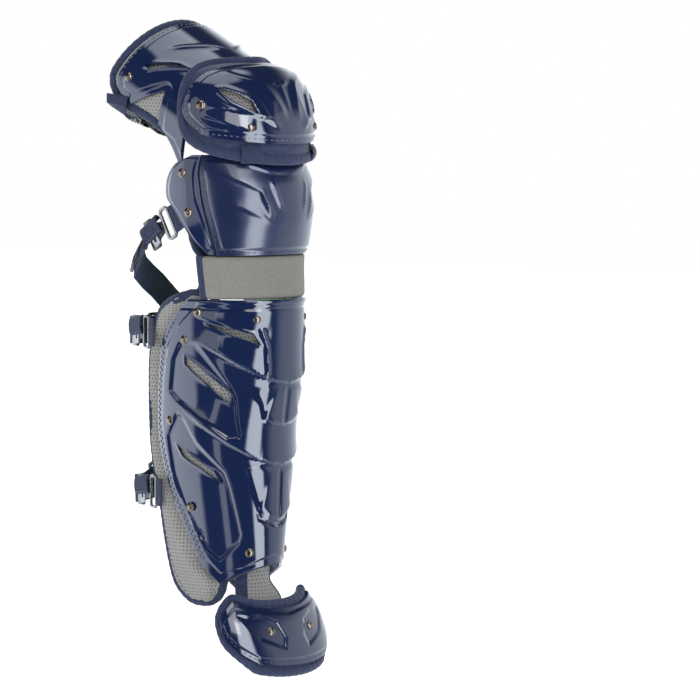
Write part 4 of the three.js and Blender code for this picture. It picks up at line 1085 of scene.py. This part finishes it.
for side, label in ((-1, "left"), (1, "right")):
    rows = []
    for front, back, down in WING_ROWS:
        reach = float(follow(SHIN_REACHES, down, 1))
        fold = min(max(reach + FLARE_START, front + 3), back - 3)
        rows.append((side * front, side * back, shin_height(down), 0, side * fold))
    wing = pad(f"calf_wing_{label}_padded", shin, rows, PAD_OUTER, PAD_INNER, (GREY_CLOTH, GREEN_MESH),
               size=(75, 270), flare=wing_flare, across=60, down=110)
    points, out = border_of(shin, rows, MIDDLE, wing_flare, inset=0.005)
    lowest = int(np.argmin(points[:, 2]))
    under_shell = lowest + int(np.argmax(points[lowest:, 2] > shin_height(0.9) * MM))
    binding = tube(f"calf_wing_{label}_binding", points[:under_shell], out[:under_shell], 4.6, 4.0,
                   NAVY_BINDING, closed=False, pinch=0.07)
    piece = joined(f"calf_wing_{label}_padded", [wing, binding])
    settle(piece, "grey_fabric", f"calf_wing_{label}")
    points, out = border_of(shin, rows, PAD_OUTER + 0.2, wing_flare, inset=0.075, parts=(1,))
    settle(stitches(f"calf_wing_{label}_stitches", points, out), "navy_fabric")

THIGH_PAD_ROWS = even([(88, THIGH_LENGTH + 1, -4), (99, THIGH_LENGTH * 0.94, -3),
                       (104, THIGH_LENGTH * 0.76, 0), (102, THIGH_LENGTH * 0.5, 0),
                       (102, THIGH_LENGTH * 0.3, 2), (94, THIGH_LENGTH * 0.13, 9)])
THIGH_PAD_INNER = PAD_OUTER - 8
thigh_pad = pad("thigh_pad_padded", thigh, THIGH_PAD_ROWS, PAD_OUTER, THIGH_PAD_INNER,
                (GREY_CLOTH, GREEN_MESH), size=(220, 95), across=90, down=60)
points, out = border_of(thigh, THIGH_PAD_ROWS, (PAD_OUTER + THIGH_PAD_INNER) / 2 + 1.2, inset=0.006)
binding = tube("thigh_pad_binding", points, out, 5.2, 4.9, NAVY_BINDING, pinch=0.06)
piece = joined("thigh_pad_padded", [thigh_pad, binding])
settle(piece, "green_mesh", "thigh_pad")

CAP_PAD_ROWS = even([(52, 0.03, -0.02), (76, 0.1, -0.05), (86, 0.22, -0.02), (89, 0.5, 0), (87, 0.69, 0.03),
                     (79, 0.79, 0.1), (64, 0.86, 0.1)])
CAP_PAD_WALL = 4.6
cap_pad = pad("upper_knee_pad_padded", cap, CAP_PAD_ROWS, PAD_OUTER, PAD_OUTER - CAP_PAD_WALL,
              (NAVY_CLOTH, GREY_CLOTH), size=(200, 110), across=90, down=60)
points, out = border_of(cap, CAP_PAD_ROWS, PAD_OUTER - 1.2, inset=0.02)
binding = tube("upper_knee_pad_binding", points, out, 5.0, 4.2, NAVY_BINDING, pinch=0.05)
piece = joined("upper_knee_pad_padded", [cap_pad, binding])
settle(piece, "navy_fabric", "upper_knee_pad")

for side, label in ((-1, "left"), (1, "right")):
    def behind_vent(s, t):
        return cap(side * (20 + 38 * s), 0.34 + 0.3 * t, PAD_OUTER + 0.3)

    mesh = wrapped(f"knee_vent_mesh_{label}", 24, 24, behind_vent, GREY_CLOTH)
    apply_modifier(mesh, "SOLIDIFY", thickness=THIN_CLOTH, offset=0)
    settle(mesh, "grey_fabric")

    def over_roll(s, t):
        bulge = -3.2 + 4.4 * np.sin(np.pi * np.clip(t, 0.05, 1)) ** 0.7
        return cap(side * (26 + 15 * s), 0.835 + 0.135 * t, bulge)

    loop = wrapped(f"knee_roll_loop_{label}", 20, 20, over_roll, WEBBING)
    apply_modifier(loop, "SOLIDIFY", thickness=0.0012, offset=0)
    settle(loop, "webbing")

knee_pad = pad("lower_knee_pad_padded", knee, KNEE_ROWS, PAD_OUTER, PAD_INNER, (NAVY_CLOTH, BLACK_MESH),
               size=(160, 88))
settle(knee_pad, "navy_fabric", "lower_knee_pad")
for part, label in ((1, "right"), (3, "left")):
    points, out = border_of(knee, KNEE_ROWS, -SHELL_WALL, parts=(part,), count=90)
    piping = tube(f"lower_knee_piping_{label}", points, out, 1.7, 1.5, NAVY_BINDING, closed=False)
    settle(piping, "navy_fabric")

FOOT_PAD_ROWS = even([(60, foot_height(0.08), -9), (80, foot_height(0.2), -6), (92, foot_height(0.35), -4),
                      (83, foot_height(0.56), -4), (64, foot_height(0.73), -5), (46, foot_height(0.9), -5)])
FOOT_PAD_WALL = 9
foot_pad = pad("foot_pad_padded", foot, FOOT_PAD_ROWS, PAD_OUTER, PAD_OUTER - FOOT_PAD_WALL,
               (NAVY_CLOTH, GREEN_MESH), size=(150, 62), across=80, down=50)
points, out = border_of(foot, FOOT_PAD_ROWS, PAD_OUTER - 3.0, inset=0.012)
binding = tube("foot_pad_binding", points, out, 4.8, 4.6, NAVY_BINDING, pinch=0.06)
piece = joined("foot_pad_padded", [foot_pad, binding])
settle(piece, "navy_fabric", "foot_pad")

NECK_ROWS = even([(40, shin_height(0.86), 2), (42, shin_height(0.96), 2), (44, shin_height(1.075), -2)])
NECK_OUTER, NECK_WALL, NECK_FLARE = PAD_INNER - NEST, 4, 12.2


def neck_flare(angle, z):
    down = (-z - SHIN_TOP) / SHIN_LENGTH
    return NECK_FLARE * smooth(((down - 0.86) / 0.215 - 0.6) / 0.4)


neck = pad("ankle_neck_padded", shin, NECK_ROWS, NECK_OUTER, NECK_OUTER - NECK_WALL,
           (GREY_CLOTH, GREEN_MESH), size=(60, 55), flare=neck_flare, across=40, down=40)
for part in (1, 3):
    points, out = border_of(shin, NECK_ROWS, NECK_OUTER - 1.5, neck_flare, inset=0.02, parts=(part,),
                            count=60)
    edge = tube("neck_edge", points, out, 6.4, 3.6, NAVY_BINDING, closed=False)
    neck = joined("ankle_neck_padded", [neck, edge])
settle(neck, "grey_fabric", "ankle_neck")

BAND_TOP, BAND_BOTTOM = knee_height(1) - 0.6, -SHIN_TOP + 0.6
BAND_ROWS = even([(72, BAND_TOP, 0), (72, (BAND_TOP + BAND_BOTTOM) / 2, 0), (72, BAND_BOTTOM, 0)])
BAND_OUTER = -1
band = pad("front_band_padded", knee, BAND_ROWS, BAND_OUTER, BAND_OUTER - PAD_WALL, (GREY_BAND, GREY_CLOTH),
           size=(180, 38), across=80, down=24)
for part, label in ((1, "right"), (3, "left")):
    points, out = border_of(knee, BAND_ROWS, BAND_OUTER - 3.6, parts=(part,), count=60)
    edge = tube(f"front_band_{label}_edge", points, out, 4.6, 4.4, NAVY_BINDING, closed=False)
    band = joined("front_band_padded", [band, edge])
settle(band, "grey_fabric", "front_band")
print("pads and bindings done")

# %% [markdown]
# ## The knee cushion
# Inside the knee lies a black leatherette cushion, dished in the middle to hold a yellow insert.
# Cloth simulation gives it the fullness of stuffing: the form is remeshed, blown up a little
# with gravity off, and no point may move further than a cap.

# %%
def inflate(piece, voxel, most):
    """Swells a closed piece as stuffing does. No point moves further than most, in metres."""
    choose(piece)
    piece.data.remesh_voxel_size = voxel
    bpy.ops.object.voxel_remesh()
    start = np.empty(len(piece.data.vertices) * 3)
    piece.data.vertices.foreach_get("co", start)
    bpy.ops.object.modifier_add(type="CLOTH")
    cloth_settings = piece.modifiers[-1].settings
    cloth_settings.use_pressure = True
    cloth_settings.uniform_pressure_force = 4
    cloth_settings.effector_weights.gravity = 0
    for number in range(1, 21):
        bpy.context.scene.frame_set(number)
    bpy.ops.object.modifier_apply(modifier=piece.modifiers[-1].name)
    bpy.context.scene.frame_set(1)
    end = np.empty(len(start))
    piece.data.vertices.foreach_get("co", end)
    move = (end - start).reshape(-1, 3)
    length = np.linalg.norm(move, axis=1, keepdims=True)
    move *= np.minimum(1, most / np.maximum(length, 1e-9))
    piece.data.vertices.foreach_set("co", (start.reshape(-1, 3) + move).ravel())
    piece.data.update()


CUSHION_OUTER = PAD_INNER - 1.5 * NEST
CUSHION_WALL, CUSHION_DISH = 15, 8
CUSHION_ROWS = even([(68, knee_height(0.15), 4), (82, knee_height(0.29), 0), (86, knee_height(0.58), 0),
                     (82, knee_height(0.92), 0), (64, knee_height(1.13), -3)])


def cushion_side(direction):
    def place(u, v):
        s, t = crowded(u), crowded(v)
        angle, height = rows_at(CUSHION_ROWS, s, t)
        round_off = np.clip(1 - np.abs(2 * s - 1) ** 7, 0, 1) ** 0.5
        round_off = round_off * np.clip(1 - np.abs(2 * t - 1) ** 7, 0, 1) ** 0.5
        from_middle = np.hypot((2 * s - 1) / 0.56, (2 * t - 1) / 0.62)
        hollow = (CUSHION_DISH + 1) * smooth((1.18 - from_middle) / 0.3)
        half = CUSHION_WALL / 2 - 1
        lift = CUSHION_OUTER - CUSHION_WALL / 2 + direction * half * round_off
        return knee(angle, height, lift + (hollow if direction < 0 else 0))
    return place


faces = [wrapped("knee_cushion", 60, 50, cushion_side(1), BLACK_LEATHER),
         wrapped("knee_cushion", 60, 50, cushion_side(-1), BLACK_LEATHER)]
cushion = joined("knee_cushion_stuffed", faces)
tidy_normals(cushion)
inflate(cushion, voxel=0.004, most=0.0015)
apply_modifier(cushion, "SUBSURF", levels=1)
choose(cushion)
bpy.ops.object.shade_smooth()
settle(cushion, "leatherette", "knee_cushion")
points, out = border_of(knee, CUSHION_ROWS, CUSHION_OUTER - CUSHION_WALL / 2 + 3)
rim = tube("knee_cushion_binding", points, out, 4.0, 4.6, NAVY_BINDING, pinch=0.06)
settle(rim, "navy_fabric")
print("cushion done")

# %% [markdown]
# ## Webbing, rings, hooks and sliders
# The CAD straps already follow their true paths, so each is copied, its long edges are
# rounded, and it gets woven webbing. Rings become wire by rounding them a lot. `axes_of` finds
# which way a small part points, from the spread of its corners, so a plate and the folded
# end of its strap can be set on each hook.

# %%
def softened(node, look, slot_name, width, segments=2):
    """A copy of a CAD node with its edges rounded by width, in mm."""
    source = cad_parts[node]
    piece = bpy.data.objects.new(f"{node}_made", source.data.copy())
    bpy.context.scene.collection.objects.link(piece)
    piece.data.materials.clear()
    piece.data.materials.append(look)
    tidy_normals(piece)
    choose(piece)
    bpy.ops.object.mode_set(mode="EDIT")
    bpy.ops.mesh.select_all(action="SELECT")
    bpy.ops.mesh.dissolve_limited(angle_limit=math.radians(1))
    bpy.ops.object.mode_set(mode="OBJECT")
    rounded_edges(piece, width * MM, segments, turn=45)
    choose(piece)
    bpy.ops.object.shade_smooth_by_angle(angle=math.radians(40))
    return settle(piece, slot_name, node)


def axes_of(node):
    """Middle, and unit directions along, across and out of a flat little part."""
    corners = np.array([vertex.co[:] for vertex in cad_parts[node].data.vertices])
    middle = (corners.max(axis=0) + corners.min(axis=0)) / 2
    _, directions = np.linalg.eigh(np.cov((corners - corners.mean(axis=0)).T))
    return middle, directions[:, 2], directions[:, 1], directions[:, 0]


STRAPS = ["thigh_tab", "thigh_strap", "knee_tab", "knee_strap", "knee_strap_far", "calf_tab",
          "upper_calf_strap", "lower_tab", "lower_strap_near", "lower_strap_far"]
CLOSURES = ("thigh", "knee", "calf", "lower")
for node in STRAPS:
    softened(node, WEBBING, "webbing", 0.6)
for name in CLOSURES:
    softened(f"{name}_ring", STEEL, "steel_wire", 1.1, 3)
    softened(f"{name}_hook", BLACK_PLASTIC, "steel_wire", 0.7, 2)
    look, slot_name = (STEEL, "steel_wire") if name == "lower" else (BLACK_PLASTIC, "black_buckle")
    softened(f"{name}_slider", look, slot_name, 0.9, 3)


def hook_axes(name):
    """As axes_of, for a hook: out points away from the leg, and along away from the ring."""
    middle, along, across, out = axes_of(f"{name}_hook")
    if np.dot(out, middle - np.array([0.0, 0.0, middle[2]])) < 0:
        out = -out
    if np.dot(along, middle - axes_of(f"{name}_ring")[0]) < 0:
        along = -along
    return middle, along, across, out


PLATE_PROFILE = [(0, 0.3, 0.5), (0.12, 0.3, 0.9), (0.5, 0.7, 1.1), (0.85, 1.0, 0.9), (1, 1.0, 0.0)]
PLATE_HALF_LONG, PLATE_HALF_WIDE = 6.5, 4.6


def plate_on(name):
    """The small bright plate with a hole that faces outwards on each hook."""
    middle, along, across, out = hook_axes(name)

    def place(s, t):
        turn = 2 * np.pi * s
        reach = follow(PLATE_PROFILE, t, 1)
        rise = follow(PLATE_PROFILE, t, 2)
        square = 1 / np.maximum(np.abs(np.cos(turn)), np.abs(np.sin(turn))) ** 0.7
        x = np.cos(turn) * reach * square * PLATE_HALF_LONG * MM
        y = np.sin(turn) * reach * square * PLATE_HALF_WIDE * MM
        flat = middle - along * 5 * MM + np.outer(x, along) + np.outer(y, across)
        return flat + np.outer(1.5 * MM + rise * MM, out)

    piece = wrapped(f"{name}_hook_plate", 36, 12, place, STEEL)
    tidy_normals(piece)
    return settle(piece, "steel_wire")


FOLD_PATH = [(0, -3.5, 2.4), (0.2, 0.5, 3.4), (0.5, 8.5, 3.2), (0.72, 12.4, 1.4), (0.86, 12.4, -1.2),
             (1, 9.5, -2.9)]
FOLD_WIDE, SEAM_WIDE = 25, 22


def fold_over(name):
    """The strap's end, which folds over the far half of its hook and is sewn down."""
    middle, along, across, out = hook_axes(name)

    def place(s, t):
        ahead = follow(FOLD_PATH, t, 1) * MM
        rise = follow(FOLD_PATH, t, 2) * MM
        aside = np.outer((s - 0.5) * FOLD_WIDE * MM, across)
        return middle + aside + np.outer(ahead, along) + np.outer(rise, out)

    piece = wrapped(f"{name}_strap_fold", 16, 24, place, WEBBING)
    apply_modifier(piece, "SOLIDIFY", thickness=0.0016, offset=0)
    rounded_edges(piece, 0.0005)
    settle(piece, "webbing")
    row = np.linspace(-0.5, 0.5, 20)
    points = middle + np.outer(row * SEAM_WIDE * MM, across) - 1.5 * MM * along + 4.1 * MM * out
    outwards = np.tile(out, (len(row), 1))
    seam = stitches(f"{name}_strap_fold_stitches", points, outwards, PALE_THREAD, long=2.2, gap=1.4)
    settle(seam, "webbing")


for name in CLOSURES:
    plate_on(name)
    fold_over(name)
softened("knee_insert", YELLOW_FOAM, "yellow_foam", 1.2, 3)
softened("wing_patch", BLACK_PATCH, "black_patch", 0.3, 2)
print("straps and hardware done")

# %% [markdown]
# ## The calf panel
# A Y of cloth behind the calf, with a bare white label: a sheet given a thickness. Stitch lines run inside
# its border.

# %%
PANEL_BACK, PANEL_CURVE, PANEL_HALF_WIDTH, PANEL_THICK = 46, 6, 44, 2.6
PANEL_SHAPE = [(0.86, 0.09, -0.08), (0.82, 0.13, -0.06), (0.78, 0.22, -0.02), (0.72, 0.35, 0),
               (0.68, 0.48, 0), (0.56, 0.57, -0.01), (0.4, 0.61, -0.02)]
PANEL_ROWS = even([(half * PANEL_HALF_WIDTH, shin_height(down), bow * SHIN_LENGTH)
                   for half, down, bow in PANEL_SHAPE])


def panel(x, z, lift=0):
    y = PANEL_BACK - PANEL_CURVE * (x / PANEL_HALF_WIDTH) ** 2 + lift
    return np.stack([x, y, z], axis=-1) * MM


def panel_middle(s, t):
    x, z = rows_at(PANEL_ROWS, s, t)
    return panel(x, z)


calf_panel = wrapped("calf_panel_cloth", 60, 80, panel_middle, NAVY_CLOTH)
apply_modifier(calf_panel, "SOLIDIFY", thickness=PANEL_THICK * MM, offset=0)
tidy_normals(calf_panel)
rounded_edges(calf_panel, EDGE_ROUND)
settle(calf_panel, "navy_fabric", "calf_panel")
for inset, label in ((0.06, "outer"), (0.11, "inner")):
    for lift, face in ((PANEL_THICK / 2, "back"), (-PANEL_THICK / 2, "front")):
        points, out = border_of(panel, PANEL_ROWS, lift, inset=inset)
        outwards = out if lift > 0 else -out
        seam = stitches(f"calf_panel_{label}_{face}_stitches", points, outwards, long=2.6, gap=1.6)
        settle(seam, "navy_fabric")
softened("strap_label", WHITE_LABEL, "white_label", 0.3, 2)
print("calf panel done")

# %% [markdown]
# ## Rivets and stitching
# A rivet is one profile spun round: a flat washer and a dome. The flange of every shell is
# sewn to its pad, so a row of stitches runs along it, and a second one beside it on the shin.

# %%
RIVET_PROFILE = [(0.0, 0.0, 2.35), (0.15, 0.3, 2.3), (0.35, 0.6, 2.05), (0.55, 0.85, 1.5), (0.7, 1.0, 0.75),
                 (0.8, 1.12, 0.5), (0.92, 1.18, 0.35), (1.0, 1.2, 0.0)]
RIVET_REACH = 3.5


def rivet(surface, angle, height, lift=0.0, step_up=1.0):
    """A rivet on a surface. step_up is a short walk along its height, in the surface's own units."""
    def spot(aside, along, over=0):
        return surface(np.array(float(angle + aside)), np.array(float(height + along)), lift + over)

    point = spot(0, 0)
    turn = spot(1, 0) - spot(-1, 0)
    rise = spot(0, step_up) - spot(0, -step_up)
    across = turn / np.linalg.norm(turn)
    out = np.cross(turn, rise)
    out /= np.linalg.norm(out)
    if np.dot(out, spot(0, 0, 1) - point) < 0:
        out = -out
    up = np.cross(out, across)

    def place(s, t):
        reach = follow(RIVET_PROFILE, t, 1) * RIVET_REACH * MM
        high = follow(RIVET_PROFILE, t, 2) * MM
        spin = 2 * np.pi * s
        ring = np.outer(np.cos(spin) * reach, across) + np.outer(np.sin(spin) * reach, up)
        return point + ring + np.outer(high, out)

    piece = wrapped("rivet", 24, 14, place, NICKEL)
    tidy_normals(piece)
    return piece


SHIN_RIVETS = [(76, 0.045), (31.8, 0.068), (87, 0.143), (103.3, 0.43), (90.6, 0.734), (34.8, 0.89)]
made = []
covered = []
for side, label in ((-1, "left"), (1, "right")):
    for index, (angle, down) in enumerate(SHIN_RIVETS):
        made.append(rivet(shin, side * angle, shin_height(down), 1.2))
        covered.append(f"shin_rivet_{label}_{index + 1}")
    made.append(rivet(cap, side * 66.6, 0.53, 1.5, 0.01))
    covered.append(f"knee_rivet_{label}")
    made.append(rivet(cap, side * 33.9, 0.70, 1.5, 0.01))
    made.append(rivet(side_plate, side * 83.3, -14, 0))
    made.append(rivet(side_plate, side * 79.1, -49, 0))
    made.append(rivet(thigh, side * 79.7, 89.4, 1.5))
    made.append(rivet(foot, side * 22.7, -421, 0.2))
rivets = joined("rivets", made)
settle(rivets, "nickel", *covered)


def flange_stitches(name, surface, line, lift, look=None):
    """Stitches along both sides of a shell, on a line given for the near side."""
    for side, label in ((-1, "left"), (1, "right")):
        run = np.linspace(0, 1, 200)
        keys = [(index / (len(line) - 1), *row) for index, row in enumerate(line)]
        angle = follow(keys, run, 1) * -side
        height = follow(keys, run, 2)
        points = surface(angle, height, lift)
        out = surface(angle, height, lift + 1) - points
        out /= np.linalg.norm(out, axis=1, keepdims=True)
        settle(stitches(f"{name}_{label}_stitches", points, out, look), "navy_fabric")


SHIN_SEAM = [(-94, -143), (-106, -165), (-113, -200), (-116.5, -238), (-113, -268), (-105.5, -300),
             (-92, -335), (-81, -362)]
SHIN_OUTER_SEAM = [(-96.5, -146), (-108.5, -168), (-115, -200), (-118.5, -238), (-115.5, -267),
                   (-108, -299), (-95, -333), (-84.5, -360)]
CAP_SEAM = [(-56, 0.165), (-66, 0.235), (-73, 0.34), (-79.5, 0.5), (-77.5, 0.62), (-66, 0.733),
            (-45, 0.765), (-20, 0.795), (-1, 0.80)]
KNEE_SEAM = [(-64.5, -2), (-66.5, -12), (-66.5, -28), (-64, -48), (-59, -69), (-55.5, -82), (-30, -84.5),
             (-1, -84.5)]
FOOT_SEAM = [(-1, -411.5), (-30, -407), (-56, -402.5), (-67, -408), (-76, -414.5), (-72, -423),
             (-58, -435), (-41, -445), (-20, -448.5), (-1, -449.5)]
THIGH_SEAM = [(-1, 95.5), (-40, 97.5), (-80, 99), (-91, 93)]
flange_stitches("shin_flange", shin, SHIN_SEAM, 0.15)
flange_stitches("shin_outer_flange", shin, SHIN_OUTER_SEAM, 0.15)
flange_stitches("cap_flange", cap, CAP_SEAM, 0.2, PALE_THREAD)
flange_stitches("knee_flange", knee, KNEE_SEAM, 0.2)
flange_stitches("foot_flange", foot, FOOT_SEAM, 0.2)
flange_stitches("thigh_flange", thigh, THIGH_SEAM, 0.2, PALE_THREAD)
print("rivets and stitches done")

# %% [markdown]
# ## Studio
# The photograph is taken on white, a little in front of the near side. Glossy plastic shows
# its surroundings, so the world gives reflections a studio of their own: dark behind the camera,
# a narrow bright strip at each side of that, pale walls opposite, and a small ceiling. The
# camera itself sees plain white.

# %%
AZIMUTH, ELEVATION = math.radians(-50), math.radians(4)
FIELD, DISTANCE = 0.63, 4.0
PHOTO_SIZE, KNEE_PIXEL_X, KNEE_PIXEL_Y = 700, 213.7, 155.0
right = Vector((math.cos(AZIMUTH), math.sin(AZIMUTH), 0))
level_out = math.cos(ELEVATION)
towards = Vector((math.sin(AZIMUTH) * level_out, -math.cos(AZIMUTH) * level_out, math.sin(ELEVATION)))
upward = towards.cross(right)
per_pixel = FIELD / PHOTO_SIZE
aside, below_knee = PHOTO_SIZE / 2 - KNEE_PIXEL_X, PHOTO_SIZE / 2 - KNEE_PIXEL_Y
aim = right * aside * per_pixel - upward * below_knee * per_pixel
bpy.ops.object.camera_add(location=aim + towards * DISTANCE)
camera = active_object()
turned_to = Matrix((right, upward, towards)).transposed().to_4x4()
camera.matrix_world = Matrix.Translation(aim + towards * DISTANCE) @ turned_to
camera.data.sensor_width = 36
camera.data.lens = camera.data.sensor_width * DISTANCE / FIELD
bpy.context.scene.camera = camera

world = bpy.data.worlds.new("studio")
bpy.context.scene.world = world
world.use_nodes = True
sky = world.node_tree
sky.nodes.clear()
seen = node_of(sky, "ShaderNodeTexCoord")
split = node_of(sky, "ShaderNodeSeparateXYZ", i0=seen.outputs["Generated"])
heading = arithmetic(sky, "ARCTAN2", split.outputs[1], split.outputs[0])
turned = arithmetic(sky, "MULTIPLY", heading, 180 / math.pi)


def sector(low, high, soft):
    """1 for headings between two angles, in degrees anticlockwise from +X, with soft ends."""
    rise = ramp(sky, turned, low - soft, low + soft)
    fall = ramp(sky, turned, high - soft, high + soft)
    return arithmetic(sky, "SUBTRACT", rise, fall)


def below(low, high):
    """1 for directions that rise less than low, down to 0 for those that rise more than high."""
    return arithmetic(sky, "SUBTRACT", 1.0, ramp(sky, split.outputs[2], low, high))


# Each wall: its two headings, how soft its ends are, the rises between which it fades, its light
WALLS = [(-116, -90, 2.5, 0.6, 0.75, 8.5), (-74, 60, 12, 0.3, 0.65, 1.4), (60, 154, 4, 0.1, 0.24, 3.0),
         (-176, -166, 1.5, 0.05, 0.15, 2.2)]
DARK_LEVEL, CEILING_FROM, CEILING_TO, CEILING_LEVEL = 0.07, 0.85, 0.91, 3.0
AMBIENT_LEVEL = 0.62
COOL_WHITE, WHITE = (0.87, 0.925, 1.0, 1.0), (1.0, 1.0, 1.0, 1.0)
light_level = DARK_LEVEL
for low, high, soft, fade_from, fade_to, level in WALLS:
    wall_light = arithmetic(sky, "MULTIPLY", sector(low, high, soft), below(fade_from, fade_to))
    light_level = arithmetic(sky, "ADD", light_level, arithmetic(sky, "MULTIPLY", wall_light, level))
ceiling = arithmetic(sky, "SUBTRACT", 1.0, below(CEILING_FROM, CEILING_TO))
light_level = arithmetic(sky, "ADD", light_level, arithmetic(sky, "MULTIPLY", ceiling, CEILING_LEVEL))
path = node_of(sky, "ShaderNodeLightPath")
reflected = node_of(sky, "ShaderNodeBackground", Color=COOL_WHITE, Strength=light_level).outputs[0]
ambient = node_of(sky, "ShaderNodeBackground", Color=WHITE, Strength=AMBIENT_LEVEL).outputs[0]
plain = node_of(sky, "ShaderNodeBackground", Color=WHITE, Strength=1.0).outputs[0]
glossy, direct = path.outputs["Is Glossy Ray"], path.outputs["Is Camera Ray"]
lit = node_of(sky, "ShaderNodeMixShader", i0=glossy, i1=ambient, i2=reflected).outputs[0]
shown = node_of(sky, "ShaderNodeMixShader", i0=direct, i1=lit, i2=plain).outputs[0]
node_of(sky, "ShaderNodeOutputWorld", i0=shown)


GUARD_MIDDLE = Vector((0, -0.02, -0.19))


def lamp(name, heading_at, height, distance, size, energy):
    """A soft area light that looks at the middle of the guard."""
    turn = math.radians(heading_at)
    place = GUARD_MIDDLE + Vector((math.cos(turn) * distance, math.sin(turn) * distance, height))
    bpy.ops.object.light_add(type="AREA", location=place)
    light = active_object()
    light.name = name
    light.rotation_euler = (GUARD_MIDDLE - place).to_track_quat("-Z", "Y").to_euler()
    light.data.size = size
    light.data.energy = energy


lamp("key", -120, 1.2, 1.8, 0.9, 12)
lamp("fill", 170, 0.5, 2.0, 1.2, 7)
lamp("rim", 60, 0.9, 1.8, 0.8, 10)
bpy.context.scene.view_settings.view_transform = "Standard"

FLOOR_HEIGHT = -0.475
bpy.ops.mesh.primitive_plane_add(size=12, location=(0, 0, FLOOR_HEIGHT))
floor = active_object()
floor.name = "floor"
white, tree, shader, place = new_look("white floor")
grain = node_of(tree, "ShaderNodeTexNoise", Vector=place.outputs["Object"], Scale=400.0)
shader.inputs["Roughness"].default_value = 0.9
shader.inputs["Emission Strength"].default_value = 0.75
shader.inputs["Emission Color"].default_value = (1, 1, 1, 1)
raise_surface(tree, shader, grain.outputs[0], 0.02, 0.0002)
floor.data.materials.append(white)
floor.visible_glossy = False  # the shells mirror only the walls, as in a studio with dark cards
